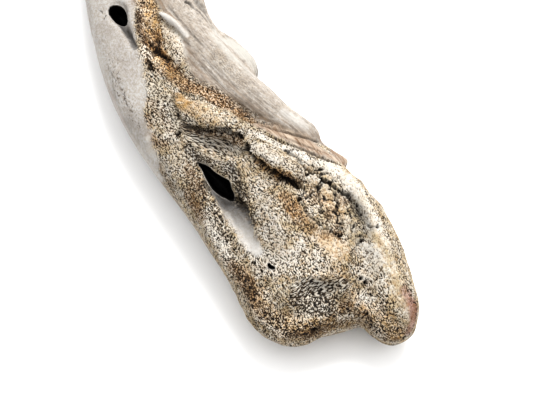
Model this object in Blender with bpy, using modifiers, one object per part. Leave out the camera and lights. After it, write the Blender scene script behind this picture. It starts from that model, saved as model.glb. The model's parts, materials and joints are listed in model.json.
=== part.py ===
"""A carved whale rib lying on its broad side, as one solid bone.

Sizes are in metres and +Z is up. Places on the bone are first measured from one point of the floor
under the middle of its carved end, called the aim point. At the end the bone is moved so that its
origin is at the middle of its base.
"""

import math

import bmesh
import bpy
import numpy as np
from mathutils import Vector

# Where the aim point lies, measured from the middle of the base.
aimPoint = (-0.0118, -0.2354)

# The rib's centre line, seen from above: distance from the notch in the head end, and heading
# in degrees from +Y, positive towards +X.
headEnd = (0.034, -0.062)
headings = [(0.0, -18), (0.039, -26), (0.084, -33), (0.108, -36), (0.132, -33), (0.166, -25),
            (0.200, -16), (0.260, -6), (0.350, 10), (0.450, 26), (0.560, 42), (0.680, 58)]
ribLength = 0.680

# Distance along, half width to the left, half width to the right, thickness, gap under the bone.
sections = [(0.000, 0.034, 0.034, 0.034, 0.000),
            (0.030, 0.0375, 0.0345, 0.040, 0.000),
            (0.060, 0.0390, 0.0325, 0.041, 0.000),
            (0.095, 0.0390, 0.0305, 0.041, 0.000),
            (0.132, 0.0380, 0.0265, 0.039, 0.001),
            (0.200, 0.0305, 0.0250, 0.035, 0.004),
            (0.280, 0.026, 0.026, 0.032, 0.004),
            (0.360, 0.025, 0.025, 0.030, 0.001),
            (0.440, 0.025, 0.025, 0.028, 0.000),
            (0.530, 0.026, 0.025, 0.025, 0.003),
            (0.610, 0.028, 0.026, 0.022, 0.002),
            (0.655, 0.030, 0.028, 0.021, 0.000),
            (0.680, 0.028, 0.024, 0.020, 0.000)]
sectionSquareness = 2.5

# Where the two further drilled hollows lie, as distances along the rib.
hollowsAlong = (0.300, 0.395)

headRounding = 0.016
tipRounding = 0.022

# The worn unevenness of the surface: how far apart its hollows lie, and how deep they are on the
# carved end's upper side and elsewhere.
reliefPitch = 0.0105
reliefDepths = (0.0010, 0.0005)

boneColor = (0.62, 0.56, 0.47, 1.0)
boneRoughness = 0.78


def clearScene():
    for ob in list(bpy.data.objects):
        bpy.data.objects.remove(ob, do_unlink=True)


def makeCollection(name):
    made = bpy.data.collections.new(name)
    bpy.context.scene.collection.children.link(made)
    return made


def smoothCurve(keys, values, at):
    """A smooth curve through the keys, for sizes that change gently along the bone."""
    keys, values = np.asarray(keys, float), np.asarray(values, float)
    slopes = np.gradient(values, keys)
    i = np.clip(np.searchsorted(keys, at) - 1, 0, len(keys) - 2)
    span = keys[i + 1] - keys[i]
    t = np.clip((at - keys[i]) / span, 0.0, 1.0)
    return ((2 * t**3 - 3 * t**2 + 1) * values[i] + (t**3 - 2 * t**2 + t) * span * slopes[i]
            + (3 * t**2 - 2 * t**3) * values[i + 1] + (t**3 - t**2) * span * slopes[i + 1])


def spine(step=0.001):
    """Distances, points and headings along the centre line, found by walking it."""
    s = np.arange(0.0, ribLength + step / 2, step)
    keys, degrees = zip(*headings)
    phi = np.radians(smoothCurve(keys, degrees, s))
    x = headEnd[0] + np.concatenate([[0.0], np.cumsum(np.sin(phi[:-1]) * step)])
    y = headEnd[1] + np.concatenate([[0.0], np.cumsum(np.cos(phi[:-1]) * step)])
    return s, x, y, phi


def ringMesh(name, rings, collection):
    """A closed mesh through rings of points, with a fan at each end."""
    mesh = bpy.data.meshes.new(name)
    bm = bmesh.new()
    rows = [[bm.verts.new(p) for p in ring] for ring in rings]
    count = len(rows[0])
    for a, b in zip(rows, rows[1:]):
        for k in range(count):
            bm.faces.new((a[k], a[(k + 1) % count], b[(k + 1) % count], b[k]))
    for row in (rows[0], rows[-1]):
        middle = bm.verts.new(sum((v.co for v in row), Vector()) / count)
        for k in range(count):
            bm.faces.new((row[k], row[(k + 1) % count], middle))
    bmesh.ops.recalc_face_normals(bm, faces=bm.faces)
    bm.to_mesh(mesh)
    bm.free()
    ob = bpy.data.objects.new(name, mesh)
    collection.objects.link(ob)
    return ob


def superellipse(angle, power):
    c, s = math.cos(angle), math.sin(angle)
    return (math.copysign(abs(c) ** (2 / power), c), math.copysign(abs(s) ** (2 / power), s))


def ribBlank(collection, spacing=0.005, around=56):
    """The plain rib before carving: flattened oval sections along the centre line."""
    s, x, y, phi = spine()
    keys = [row[0] for row in sections]
    stops = np.concatenate([np.arange(0.0004, 0.02, 0.002), np.arange(0.02, ribLength - 0.016, spacing),
                            np.arange(ribLength - 0.016, ribLength, 0.002)])
    left, right, thick, gap = (smoothCurve(keys, [row[i] for row in sections], stops) for i in (1, 2, 3, 4))
    rings = []
    for i, at in enumerate(stops):
        nose = math.sqrt(max(0.0, 1 - (1 - min(at / headRounding, 1.0)) ** 2))
        tail = math.sqrt(max(0.0, 1 - (1 - min((ribLength - at) / tipRounding, 1.0)) ** 2))
        shrink = max(0.12, nose * tail)
        cx, cy, heading = (np.interp(at, s, v) for v in (x, y, phi))
        half = thick[i] / 2
        middle = gap[i] + half
        ring = []
        for k in range(around):
            across, up = superellipse(2 * math.pi * k / around, sectionSquareness)
            side = (right[i] if across > 0 else left[i]) * across * shrink
            ring.append((cx + side * math.cos(heading), cy - side * math.sin(heading),
                         middle + half * up * shrink))
        rings.append(ring)
    return ringMesh("rib_bone", rings, collection)


def lump(name, path, collection, around=24, steps=24, power=2.0):
    """A long rounded form. Each row of path is x, y, z, half width, half height and roll in degrees."""
    rows = np.array(path, float)
    keys = np.concatenate([[0.0], np.cumsum(np.linalg.norm(np.diff(rows[:, :3], axis=0), axis=1))])
    at = (1 - np.cos(np.linspace(0, math.pi, steps))) / 2 * keys[-1]
    px, py, pz, wide, high, roll = (smoothCurve(keys, rows[:, i], at) for i in range(6))
    points = np.stack([px, py, pz], axis=1)
    rings = []
    for i in range(steps):
        ahead = Vector(points[min(i + 1, steps - 1)] - points[max(i - 1, 0)]).normalized()
        sideways = ahead.cross(Vector((0, 0, 1))).normalized()
        upright = sideways.cross(ahead).normalized()
        turn = math.radians(roll[i])
        axisA = sideways * math.cos(turn) + upright * math.sin(turn)
        axisB = upright * math.cos(turn) - sideways * math.sin(turn)
        end = min(at[i], keys[-1] - at[i])
        cap = max(wide[i], high[i])
        shrink = max(0.10, math.sqrt(max(0.0, 1 - (1 - min(end / cap, 1.0)) ** 2)))
        ring = []
        for k in range(around):
            a, b = superellipse(2 * math.pi * k / around, power)
            ring.append(Vector(points[i]) + axisA * (wide[i] * a * shrink) + axisB * (high[i] * b * shrink))
        rings.append(ring)
    return ringMesh(name, rings, collection)


def onRib(at, across, rise, wide, high, roll=0.0):
    """A row for lump: distance along the rib, sideways from its centre line, above its plain top."""
    s, x, y, phi = spine()
    cx, cy, heading = (np.interp(at, s, v) for v in (x, y, phi))
    keys = [row[0] for row in sections]
    thick, gap = (float(smoothCurve(keys, [row[i] for row in sections], np.array([at]))[0]) for i in (3, 4))
    return (cx + across * math.cos(heading), cy - across * math.sin(heading), thick + gap + rise,
            wide, high, roll)


def headLobes(collection):
    """The two rounded lobes of the head end, with a shallow notch between them."""
    lump("left_lobe", [
        (-0.01, -0.014, 0.019, 0.019, 0.018, 0), (0.006, -0.036, 0.019, 0.022, 0.0185, 0),
        (0.0165, -0.0685, 0.016, 0.02, 0.015, 0)], collection)
    lump("right_lobe", [
        (0.033, 0.002, 0.021, 0.014, 0.018, 0), (0.044, -0.026, 0.02, 0.015, 0.019, 0),
        (0.057, -0.068, 0.016, 0.0122, 0.015, 0)], collection)


def carvedPlate(collection):
    """The smooth dense plate along the inner side, with the brown layer that shows under its tip."""
    lump("plate", [
        onRib(0.440, 0.012, -0.006, 0.008, 0.004), onRib(0.340, 0.012, -0.006, 0.013, 0.008, -6),
        onRib(0.260, 0.014, -0.0065, 0.016, 0.010, -10), (-0.0425, 0.0978, 0.031, 0.014, 0.01, -14),
        (-0.0355, 0.0744, 0.032, 0.014, 0.01, -18), (-0.0215, 0.0594, 0.0325, 0.0115, 0.0095, -20),
        (-0.004, 0.0425, 0.0335, 0.0085, 0.0085, -16), (0.0092, 0.0322, 0.0335, 0.0066, 0.0072, -12),
        (0.024, 0.0225, 0.033, 0.0048, 0.006, -8)], collection)
    lump("under_layer", [
        (-0.012, 0.037, 0.03, 0.006, 0.007, -20), (0.0061, 0.0295, 0.029, 0.005, 0.006, -20),
        (0.0197, 0.0225, 0.028, 0.0045, 0.0055, -20), (0.037, 0.015, 0.025, 0.0035, 0.0045, -20)], collection)


def browAndBoulder(collection):
    """The raised ridge over the almond hollow, the long lump after it, and the shoulder beside them."""
    lump("brow", [
        (-0.044, 0.041, 0.035, 0.004, 0.005, 0), (-0.031, 0.032, 0.0375, 0.007, 0.008, 0),
        (-0.021, 0.028, 0.0385, 0.0062, 0.0075, 0), (-0.008, 0.0215, 0.037, 0.004, 0.006, 0)], collection)
    lump("boulder", [
        (-0.0105, 0.018, 0.037, 0.005, 0.006, 0), (-0.0005, 0.0105, 0.039, 0.0062, 0.008, 0),
        (0.008, 0.0035, 0.039, 0.0062, 0.0075, 0), (0.0175, -0.0025, 0.037, 0.0045, 0.0055, 0)], collection)
    lump("shoulder", [
        (-0.004, 0.027, 0.031, 0.006, 0.008, 0), (0.015, 0.0162, 0.03, 0.0075, 0.0095, 0),
        (0.03, 0.0045, 0.028, 0.008, 0.0115, 0), (0.0405, -0.0085, 0.026, 0.008, 0.0125, 0),
        (0.0505, -0.032, 0.024, 0.007, 0.012, 0)], collection)


def creamLobe(collection):
    """The polished lobe that stands out from the inner side, behind the plate."""
    lump("cream_lobe", [
        (-0.038, 0.094, 0.018, 0.008, 0.01, 0), (-0.0165, 0.0765, 0.018, 0.0105, 0.011, 0),
        (-0.008, 0.063, 0.018, 0.0085, 0.01, 0)], collection)


def spongyValley(collection):
    """The worn furrow of open bone between the smooth outer band, the plate and the brow."""
    lump("valley", [
        onRib(0.400, -0.001, 0.002, 0.003, 0.003), onRib(0.320, -0.003, 0.002, 0.005, 0.004),
        onRib(0.240, -0.001, 0.004, 0.006, 0.006), (-0.0555, 0.095, 0.042, 0.007, 0.006, 0),
        (-0.05, 0.07, 0.043, 0.006, 0.007, 0), (-0.035, 0.051, 0.043, 0.005, 0.006, 0),
        (-0.015, 0.037, 0.043, 0.004, 0.006, 0), (0.01, 0.023, 0.043, 0.004, 0.006, 0)], collection)


def carvedHollows(collection):
    """What is cut away: the almond hollow with its trough, the drilled hollows with their grooves."""
    lump("trough", [
        (-0.027, 0.004, 0.038, 0.0032, 0.0042, 0), (-0.0185, -0.0085, 0.0374, 0.0054, 0.006, 0),
        (-0.0125, -0.019, 0.0386, 0.0056, 0.0058, 0), (-0.0065, -0.03, 0.0402, 0.0045, 0.0048, 0),
        (0.0, -0.0415, 0.0428, 0.0025, 0.003, 0)], collection)
    lump("almond", [
        (-0.029, 0.008, 0.044, 0.002, 0.005, 0), (-0.023, 0.0025, 0.032, 0.0032, 0.013, 0),
        (-0.0175, -0.004, 0.031, 0.0030, 0.012, 0), (-0.0135, -0.0095, 0.04, 0.0018, 0.005, 0)], collection)
    lump("under_brow", [
        (-0.039, 0.021, 0.043, 0.005, 0.005, 0), (-0.022, 0.015, 0.043, 0.007, 0.0065, 0),
        (-0.009, 0.0095, 0.044, 0.005, 0.005, 0)], collection)
    lump("drilled", [
        (-0.0715, 0.0965, 0.044, 0.0042, 0.0055, 0), (-0.07, 0.092, 0.03, 0.0042, 0.0055, 0),
        (-0.068, 0.09, 0.018, 0.0036, 0.005, 0)], collection)
    lump("groove", [
        (-0.072, 0.096, 0.038, 0.003, 0.004, 0), (-0.0665, 0.084, 0.0375, 0.0026, 0.0035, 0),
        (-0.0605, 0.069, 0.038, 0.0012, 0.0025, 0)], collection)
    lump("lobe_furrow", [
        (0.0345, -0.078, 0.032, 0.003, 0.004, 0), (0.0345, -0.062, 0.041, 0.0035, 0.0045, 0),
        (0.0335, -0.048, 0.045, 0.002, 0.003, 0)], collection)
    lump("boulder_furrow", [
        (-0.0125, 0.0195, 0.0425, 0.0012, 0.0032, 0), (-0.0065, 0.0105, 0.042, 0.0016, 0.0042, 0),
        (0.0035, 0.0018, 0.042, 0.0016, 0.0042, 0), (0.0145, -0.0055, 0.042, 0.0012, 0.003, 0)], collection)
    lump("dish", [
        (0.0125, -0.0568, 0.0385, 0.0045, 0.004, 0), (0.0235, -0.0552, 0.0376, 0.006, 0.0048, 0),
        (0.0335, -0.0535, 0.0374, 0.0045, 0.004, 0)], collection)
    lump("shoulder_hollow", [
        (0.037, -0.0075, 0.0425, 0.0026, 0.0036, 0), (0.0415, -0.017, 0.0412, 0.0036, 0.0042, 0),
        (0.0455, -0.026, 0.0402, 0.0026, 0.0034, 0)], collection)
    for at in hollowsAlong:
        lump("drilled", [
            onRib(at, -0.012, 0.003, 0.004, 0.0055), onRib(at + 0.003, -0.011, -0.009, 0.004, 0.0055),
            onRib(at + 0.006, -0.01, -0.018, 0.0034, 0.0045)], collection)
        lump("groove", [
            onRib(at + 0.004, -0.013, 0.001, 0.003, 0.004),
            onRib(at - 0.012, -0.011, 0.001, 0.0026, 0.0035),
            onRib(at - 0.03, -0.007, 0.0025, 0.0012, 0.0025)], collection)


def join(ob, collection, operation):
    """Joins or cuts ob with everything in the collection, keeps the result and removes the pieces."""
    step = ob.modifiers.new(operation.lower(), "BOOLEAN")
    step.operation = operation
    step.operand_type = "COLLECTION"
    step.collection = collection
    step.solver = "EXACT"
    keepEvaluated(ob)
    for piece in list(collection.objects):
        bpy.data.objects.remove(piece, do_unlink=True)
    bpy.data.collections.remove(collection)


def keepEvaluated(ob):
    """Makes the object's mesh what its modifiers give."""
    graph = bpy.context.evaluated_depsgraph_get()
    graph.update()
    made = bpy.data.meshes.new_from_object(ob.evaluated_get(graph))
    ob.modifiers.clear()
    old = ob.data
    ob.data = made
    bpy.data.meshes.remove(old)


def keepLargest(ob):
    """Leaves only the largest closed surface of the mesh."""
    bm = bmesh.new()
    bm.from_mesh(ob.data)
    left = set(bm.verts)
    islands = []
    while left:
        todo = [left.pop()]
        island = set(todo)
        while todo:
            for edge in todo.pop().link_edges:
                for v in edge.verts:
                    if v in left:
                        left.discard(v)
                        island.add(v)
                        todo.append(v)
        islands.append(island)
    islands.sort(key=len)
    bmesh.ops.delete(bm, geom=[v for island in islands[:-1] for v in island], context="VERTS")
    bm.to_mesh(ob.data)
    bm.free()


def unevenness(points, pitch):
    """Smooth heights from -1 to 1 that lie about one pitch apart, the same each time."""
    cells = points / pitch + 60.0
    base = np.floor(cells).astype(np.int64)
    t = cells - base
    t = t * t * (3 - 2 * t)
    total = np.zeros(len(points))
    for corner in range(8):
        shift = np.array([(corner >> k) & 1 for k in range(3)])
        weight = np.prod(np.where(shift, t, 1 - t), axis=1)
        key = (base + shift) @ np.array([73856093, 19349663, 83492791])
        key = (key ^ (key >> 13)) * 1274126177 & 0x7FFFFFFF
        total += weight * ((key ^ (key >> 16)) & 0xFFFF) / 65535.0
    return total * 2 - 1


def wearSurface(ob):
    """Presses and lifts the surface a little, most on the carved end's upper side."""
    mesh = ob.data
    points = np.empty(len(mesh.vertices) * 3)
    normals = np.empty(len(mesh.vertices) * 3)
    mesh.vertices.foreach_get("co", points)
    mesh.vertices.foreach_get("normal", normals)
    points, normals = points.reshape(-1, 3), normals.reshape(-1, 3)
    carvedEnd = np.clip((0.13 - points[:, 1]) / 0.03, 0.0, 1.0)
    upward = np.clip(normals[:, 2] * 1.6, 0.25, 1.0)
    deep, slight = reliefDepths
    depth = (slight + (deep - slight) * carvedEnd) * upward
    points += normals * (unevenness(points, reliefPitch) * depth)[:, None]
    mesh.vertices.foreach_set("co", points.ravel())
    mesh.update()


def weather(ob, grain=0.0016, rounds=3, triangles=11600):
    """Wears the joined forms into each other as water and sand do, and thins the mesh where it is plain."""
    melt = ob.modifiers.new("melt", "REMESH")
    melt.mode = "VOXEL"
    melt.voxel_size = grain
    soften = ob.modifiers.new("soften", "SMOOTH")
    soften.iterations = rounds
    soften.factor = 0.5
    keepEvaluated(ob)
    wearSurface(ob)
    ob.data.calc_loop_triangles()
    thin = ob.modifiers.new("thin", "DECIMATE")
    thin.ratio = triangles / len(ob.data.loop_triangles)
    keepEvaluated(ob)
    keepLargest(ob)


def setDown(ob, sole=0.0006):
    """Cuts the small flats that the bone rests on, and moves it so that the origin is its base's middle."""
    bm = bmesh.new()
    bm.from_mesh(ob.data)
    cut = bmesh.ops.bisect_plane(bm, geom=bm.verts[:] + bm.edges[:] + bm.faces[:], plane_co=(0, 0, sole),
                                 plane_no=(0, 0, -1), clear_outer=True)
    rim = [e for e in cut["geom_cut"] if isinstance(e, bmesh.types.BMEdge)]
    bmesh.ops.holes_fill(bm, edges=rim, sides=0)
    bmesh.ops.triangulate(bm, faces=bm.faces)
    bmesh.ops.recalc_face_normals(bm, faces=bm.faces)
    bmesh.ops.translate(bm, verts=bm.verts, vec=(aimPoint[0], aimPoint[1], -sole))
    bm.to_mesh(ob.data)
    bm.free()


def boneMaterial():
    made = bpy.data.materials.new("weathered_bone")
    made.use_nodes = True
    shader = made.node_tree.nodes["Principled BSDF"]
    shader.inputs["Base Color"].default_value = boneColor
    shader.inputs["Roughness"].default_value = boneRoughness
    shader.inputs["Metallic"].default_value = 0.0
    return made


def build():
    clearScene()
    bone = makeCollection("carved_whale_rib")
    valley = makeCollection("worn_away")
    added = makeCollection("added_forms")
    removed = makeCollection("carved_away")
    rib = ribBlank(bone)
    spongyValley(valley)
    join(rib, valley, "DIFFERENCE")
    headLobes(added)
    carvedPlate(added)
    browAndBoulder(added)
    creamLobe(added)
    join(rib, added, "UNION")
    carvedHollows(removed)
    join(rib, removed, "DIFFERENCE")
    weather(rib)
    setDown(rib)
    rib.data.materials.clear()
    rib.data.materials.append(boneMaterial())


build()
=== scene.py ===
# Carved whale rib bone on a pale studio floor, dressed around its CAD model.
import json
import math

import bmesh
import bpy
import numpy as np
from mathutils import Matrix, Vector
from mathutils.bvhtree import BVHTree

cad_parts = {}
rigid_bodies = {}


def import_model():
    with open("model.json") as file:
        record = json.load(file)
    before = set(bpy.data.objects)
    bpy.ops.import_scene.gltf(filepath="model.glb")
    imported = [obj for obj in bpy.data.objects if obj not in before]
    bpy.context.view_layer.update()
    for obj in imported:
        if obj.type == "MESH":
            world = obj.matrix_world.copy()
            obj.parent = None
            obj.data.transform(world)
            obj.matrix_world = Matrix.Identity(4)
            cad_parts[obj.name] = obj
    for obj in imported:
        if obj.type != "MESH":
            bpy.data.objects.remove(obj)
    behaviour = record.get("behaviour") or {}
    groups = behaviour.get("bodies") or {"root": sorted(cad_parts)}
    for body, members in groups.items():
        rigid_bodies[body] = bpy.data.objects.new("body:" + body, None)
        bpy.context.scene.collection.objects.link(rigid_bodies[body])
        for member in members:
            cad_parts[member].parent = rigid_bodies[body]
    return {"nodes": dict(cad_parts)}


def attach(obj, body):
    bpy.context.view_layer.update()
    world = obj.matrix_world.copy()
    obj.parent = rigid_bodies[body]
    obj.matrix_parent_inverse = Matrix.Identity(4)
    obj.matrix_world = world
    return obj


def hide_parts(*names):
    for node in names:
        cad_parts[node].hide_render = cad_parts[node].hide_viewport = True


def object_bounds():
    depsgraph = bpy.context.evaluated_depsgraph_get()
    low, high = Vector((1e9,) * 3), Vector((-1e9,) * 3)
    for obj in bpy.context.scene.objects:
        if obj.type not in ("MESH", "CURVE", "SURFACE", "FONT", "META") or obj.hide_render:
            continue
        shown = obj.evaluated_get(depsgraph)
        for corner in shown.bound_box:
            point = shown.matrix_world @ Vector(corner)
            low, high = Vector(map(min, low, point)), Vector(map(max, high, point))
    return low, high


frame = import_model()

cadBox = [list(corner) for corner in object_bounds()]

# The photograph's frame and the camera that takes it. The aim point lies under the photo's centre.
photoView = {"width": 533.0, "height": 400.0, "lens": 85.0, "sensor": 36.0, "elevation": 60.0, "distance": 0.56631}
aimPoint = Vector((-0.0118, -0.2354, -0.0006))
aimHeight = 0.020
focalPixels = photoView["width"] * photoView["lens"] / photoView["sensor"]

# The bone's centre line, as the CAD model has it: distance from the notch, and heading from +Y.
centreLine = {
    "start": (0.034, -0.062),
    "length": 0.680,
    "headings": [(0.0, -18), (0.039, -26), (0.084, -33), (0.108, -36), (0.132, -33), (0.166, -25),
                 (0.200, -16), (0.260, -6), (0.350, 10), (0.450, 26), (0.560, 42), (0.680, 58)],
    "halfWidths": [(0.0, 0.036), (0.06, 0.037), (0.132, 0.032), (0.2, 0.028), (0.44, 0.025), (0.68, 0.027)],
    "middleHeights": [(0.0, 0.019), (0.1, 0.021), (0.2, 0.021), (0.36, 0.016), (0.68, 0.010)],
}


def viewAxes():
    tilt = math.radians(photoView["elevation"])
    forward = Vector((0.0, math.cos(tilt), -math.sin(tilt)))
    right = Vector((1.0, 0.0, 0.0))
    return forward, right, right.cross(forward)


def cameraPlace():
    forward, _, _ = viewAxes()
    return aimPoint + Vector((0.0, 0.0, aimHeight)) - forward * photoView["distance"]


def pixelRay(px, py):
    forward, right, up = viewAxes()
    return (forward * focalPixels + right * (px - photoView["width"] / 2)
            + up * (photoView["height"] / 2 - py)).normalized()


def setCamera():
    lens = bpy.data.cameras.new("photoCamera")
    camera = bpy.data.objects.new("photoCamera", lens)
    bpy.context.scene.collection.objects.link(camera)
    lens.lens = photoView["lens"]
    lens.sensor_width = photoView["sensor"]
    lens.clip_start = 0.01
    forward, _, _ = viewAxes()
    camera.location = cameraPlace()
    camera.rotation_mode = "QUATERNION"
    camera.rotation_quaternion = forward.to_track_quat("-Z", "Y")
    bpy.context.scene.camera = camera


def smoothCurve(keys, values, at):  # the same easy curve as in the CAD model
    keys, values = np.asarray(keys, float), np.asarray(values, float)
    slopes = np.gradient(values, keys)
    i = np.clip(np.searchsorted(keys, at) - 1, 0, len(keys) - 2)
    span = keys[i + 1] - keys[i]
    t = np.clip((at - keys[i]) / span, 0.0, 1.0)
    return ((2 * t**3 - 3 * t**2 + 1) * values[i] + (t**3 - 2 * t**2 + t) * span * slopes[i]
            + (3 * t**2 - 2 * t**3) * values[i + 1] + (t**3 - t**2) * span * slopes[i + 1])


def walkCentreLine(step=0.001):
    s = np.arange(0.0, centreLine["length"] + step / 2, step)
    keys, degrees = zip(*centreLine["headings"])
    phi = np.radians(smoothCurve(keys, degrees, s))
    x = centreLine["start"][0] + np.concatenate([[0.0], np.cumsum(np.sin(phi[:-1]) * step)]) + aimPoint.x
    y = centreLine["start"][1] + np.concatenate([[0.0], np.cumsum(np.cos(phi[:-1]) * step)]) + aimPoint.y
    return s, x, y, phi


def measureAlong(points, walk, stride=4):  # distance along and across a walk (+ to the inner side)
    s, x, y, phi = (v[::stride] for v in walk)
    along = np.empty(len(points))
    across = np.empty(len(points))
    for start in range(0, len(points), 20000):
        part = points[start:start + 20000]
        dx = part[:, 0, None] - x[None, :]
        dy = part[:, 1, None] - y[None, :]
        i = (dx * dx + dy * dy).argmin(axis=1)
        rows = np.arange(len(part))
        dx, dy = dx[rows, i], dy[rows, i]
        along[start:start + len(part)] = s[i] + dx * np.sin(phi[i]) + dy * np.cos(phi[i])
        across[start:start + len(part)] = dx * np.cos(phi[i]) - dy * np.sin(phi[i])
    return along, across


def alongBone(points, stride=4):
    return measureAlong(points, walkCentreLine(), stride)


def walkThrough(places, step=0.001):  # an easy curve through places seen from above
    places = np.asarray(places, float)
    keys = np.concatenate([[0.0], np.cumsum(np.linalg.norm(np.diff(places[:, :2], axis=0), axis=1))])
    s = np.arange(0.0, keys[-1], step)
    x, y = smoothCurve(keys, places[:, 0], s), smoothCurve(keys, places[:, 1], s)
    return s, x, y, np.arctan2(np.gradient(x), np.gradient(y))


def ease(value, low, high):
    t = np.clip((value - low) / (high - low), 0.0, 1.0)
    return t * t * (3 - 2 * t)


def latticeNoise(points, pitch, seed):  # smooth value noise from 0 to 1
    cell = points / pitch + 100.0 + seed * 17.31
    base = np.floor(cell).astype(np.int64)
    t = cell - base
    t = t * t * (3 - 2 * t)
    total = np.zeros(len(points))
    for corner in range(8):
        shift = np.array([(corner >> k) & 1 for k in range(3)])
        weight = np.prod(np.where(shift, t, 1 - t), axis=1)
        key = (base + shift) @ np.array([73856093, 19349663, 83492791])
        key = (key ^ (key >> 13)) * 1274126177 & 0x7FFFFFFF
        total += weight * ((key ^ (key >> 16)) & 0xFFFF) / 65535.0
    return total


def superellipse(angle, power):
    c, s = math.cos(angle), math.sin(angle)
    return (math.copysign(abs(c) ** (2 / power), c), math.copysign(abs(s) ** (2 / power), s))


def ringMesh(name, rings, collection):
    mesh = bpy.data.meshes.new(name)
    bm = bmesh.new()
    rows = [[bm.verts.new(p) for p in ring] for ring in rings]
    count = len(rows[0])
    for a, b in zip(rows, rows[1:]):
        for k in range(count):
            bm.faces.new((a[k], a[(k + 1) % count], b[(k + 1) % count], b[k]))
    for row in (rows[0], rows[-1]):
        middle = bm.verts.new(sum((v.co for v in row), Vector()) / count)
        for k in range(count):
            bm.faces.new((row[k], row[(k + 1) % count], middle))
    bmesh.ops.recalc_face_normals(bm, faces=bm.faces)
    bm.to_mesh(mesh)
    bm.free()
    made = bpy.data.objects.new(name, mesh)
    collection.objects.link(made)
    return made


# Forms that are carved again, crisper than the plain model has them. Rows are x, y, z, half width,
# half height and roll, from the aim point.
carvedForms = {
    "plateEdge": {"power": 3.2, "rows": [
        (-0.0425, 0.0978, 0.031, 0.0135, 0.0102, -14), (-0.0355, 0.0744, 0.032, 0.0138, 0.0102, -18),
        (-0.0215, 0.0594, 0.0325, 0.0112, 0.0097, -20), (-0.004, 0.0425, 0.0335, 0.0082, 0.0087, -16),
        (0.0092, 0.0322, 0.0335, 0.0064, 0.0074, -12), (0.0225, 0.0232, 0.0335, 0.0046, 0.006, -8)]},
    "browFlap": {"power": 2.6, "rows": [
        (-0.0425, 0.0395, 0.0365, 0.0035, 0.0045, 0), (-0.031, 0.0325, 0.0380, 0.0068, 0.0072, -8),
        (-0.021, 0.0285, 0.0390, 0.0062, 0.0070, -8), (-0.008, 0.0215, 0.0375, 0.004, 0.0055, 0)]},
    "boulder": {"power": 2.4, "rows": [
        (-0.0100, 0.0175, 0.0375, 0.0048, 0.0055, 0), (-0.0005, 0.0105, 0.0388, 0.0060, 0.0078, 0),
        (0.008, 0.0035, 0.0388, 0.0060, 0.0073, 0), (0.017, -0.002, 0.037, 0.0043, 0.0052, 0)]},
}


def pixelAtHeight(px, py, height):  # a photo pixel, laid on the level plane at this height above the aim point
    eye, ray = cameraPlace(), pixelRay(px, py)
    return eye + ray * ((height + aimPoint.z - eye.z) / ray.z)


# The same by photo pixel: x and y in pixels, height, half width, half height and roll.
pixelForms = {
    "almondBed": {"power": 2.6, "rows": [
        (196, 163, 0.0290, 0.0025, 0.0050, 0), (205, 172, 0.0290, 0.0045, 0.0062, 0),
        (216, 184, 0.0290, 0.0056, 0.0066, 0), (227, 197, 0.0290, 0.0058, 0.0064, 0),
        (237, 210, 0.0285, 0.0050, 0.0060, 0)]},
    "drillBed": {"power": 2.6, "rows": [
        (112, 6, 0.0290, 0.0040, 0.0050, 0), (116, 13, 0.0290, 0.0062, 0.0066, 0),
        (121, 21, 0.0290, 0.0058, 0.0064, 0), (126, 29, 0.0290, 0.0040, 0.0050, 0)]},
    "rimSliver": {"power": 2.2, "rows": [
        (157, 12, 0.0385, 0.0008, 0.0010, 0), (165, 17, 0.0402, 0.0016, 0.0021, 0),
        (176, 25, 0.0412, 0.0017, 0.0024, 0), (187, 36, 0.0410, 0.0012, 0.0016, 0),
        (194, 44, 0.0400, 0.0005, 0.0008, 0)]},
}


def lump(name, rows, collection, power=2.0, around=40, steps=40):
    rows = np.array(rows, float)
    keys = np.concatenate([[0.0], np.cumsum(np.linalg.norm(np.diff(rows[:, :3], axis=0), axis=1))])
    at = (1 - np.cos(np.linspace(0, math.pi, steps))) / 2 * keys[-1]
    px, py, pz, wide, high, roll = (smoothCurve(keys, rows[:, i], at) for i in range(6))
    points = np.stack([px, py, pz], axis=1)
    rings = []
    for i in range(steps):
        ahead = Vector(points[min(i + 1, steps - 1)] - points[max(i - 1, 0)]).normalized()
        sideways = ahead.cross(Vector((0, 0, 1))).normalized()
        upright = sideways.cross(ahead).normalized()
        turn = math.radians(roll[i])
        axisA = sideways * math.cos(turn) + upright * math.sin(turn)
        axisB = upright * math.cos(turn) - sideways * math.sin(turn)
        end = min(at[i], keys[-1] - at[i])
        reach = max(wide[i], 1e-4)
        shrink = math.sqrt(max(0.0, 1 - (1 - min(1.0, end / reach)) ** 2)) * 0.97 + 0.03
        ring = []
        for k in range(around):
            a, b = superellipse(2 * math.pi * k / around, power)
            ring.append(Vector(points[i]) + axisA * (wide[i] * a * shrink) + axisB * (high[i] * b * shrink))
        rings.append(ring)
    return ringMesh(name, rings, collection)


# Deep holes, cut last with a crisp rim. Outlines are pixels of the photograph, cast onto the bone. Their cutters paint
# near-black shade onto the hole walls.
deepHoles = {
    "almond": {"depth": 0.020, "lift": 0.004, "shrink": 0.80, "pixels": [
        (196.5, 161), (200, 162.5), (205, 164), (210, 167), (214, 171), (219, 174.5), (225, 178), (229, 180),
        (231, 184), (231.5, 188), (234, 193), (235, 198), (234, 201.5), (230, 201.5), (226, 199), (222, 197.5),
        (217, 194), (212.5, 190), (209, 185), (205, 178), (202, 171), (198, 165)]},
    "drilledHole": {"depth": 0.020, "lift": 0.004, "shrink": 0.75, "pixels": [
        (107.8, 10), (109.5, 6.5), (113, 5), (117, 4.8), (121, 6), (124, 8.5), (126, 12), (127.3, 16),
        (128, 21), (127, 25), (124.5, 26.5), (120.5, 26), (116, 23.5), (111.8, 19), (108.6, 14.5)]},
    "lowPit": {"depth": 0.005, "lift": 0.002, "shrink": 0.70, "pixels": [
        (267.3, 263.5), (269.5, 262.6), (271.3, 264.8), (275, 266.6), (275.3, 269), (272.5, 270), (269.3, 268.6),
        (267.2, 266.4)]},
}


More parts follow.
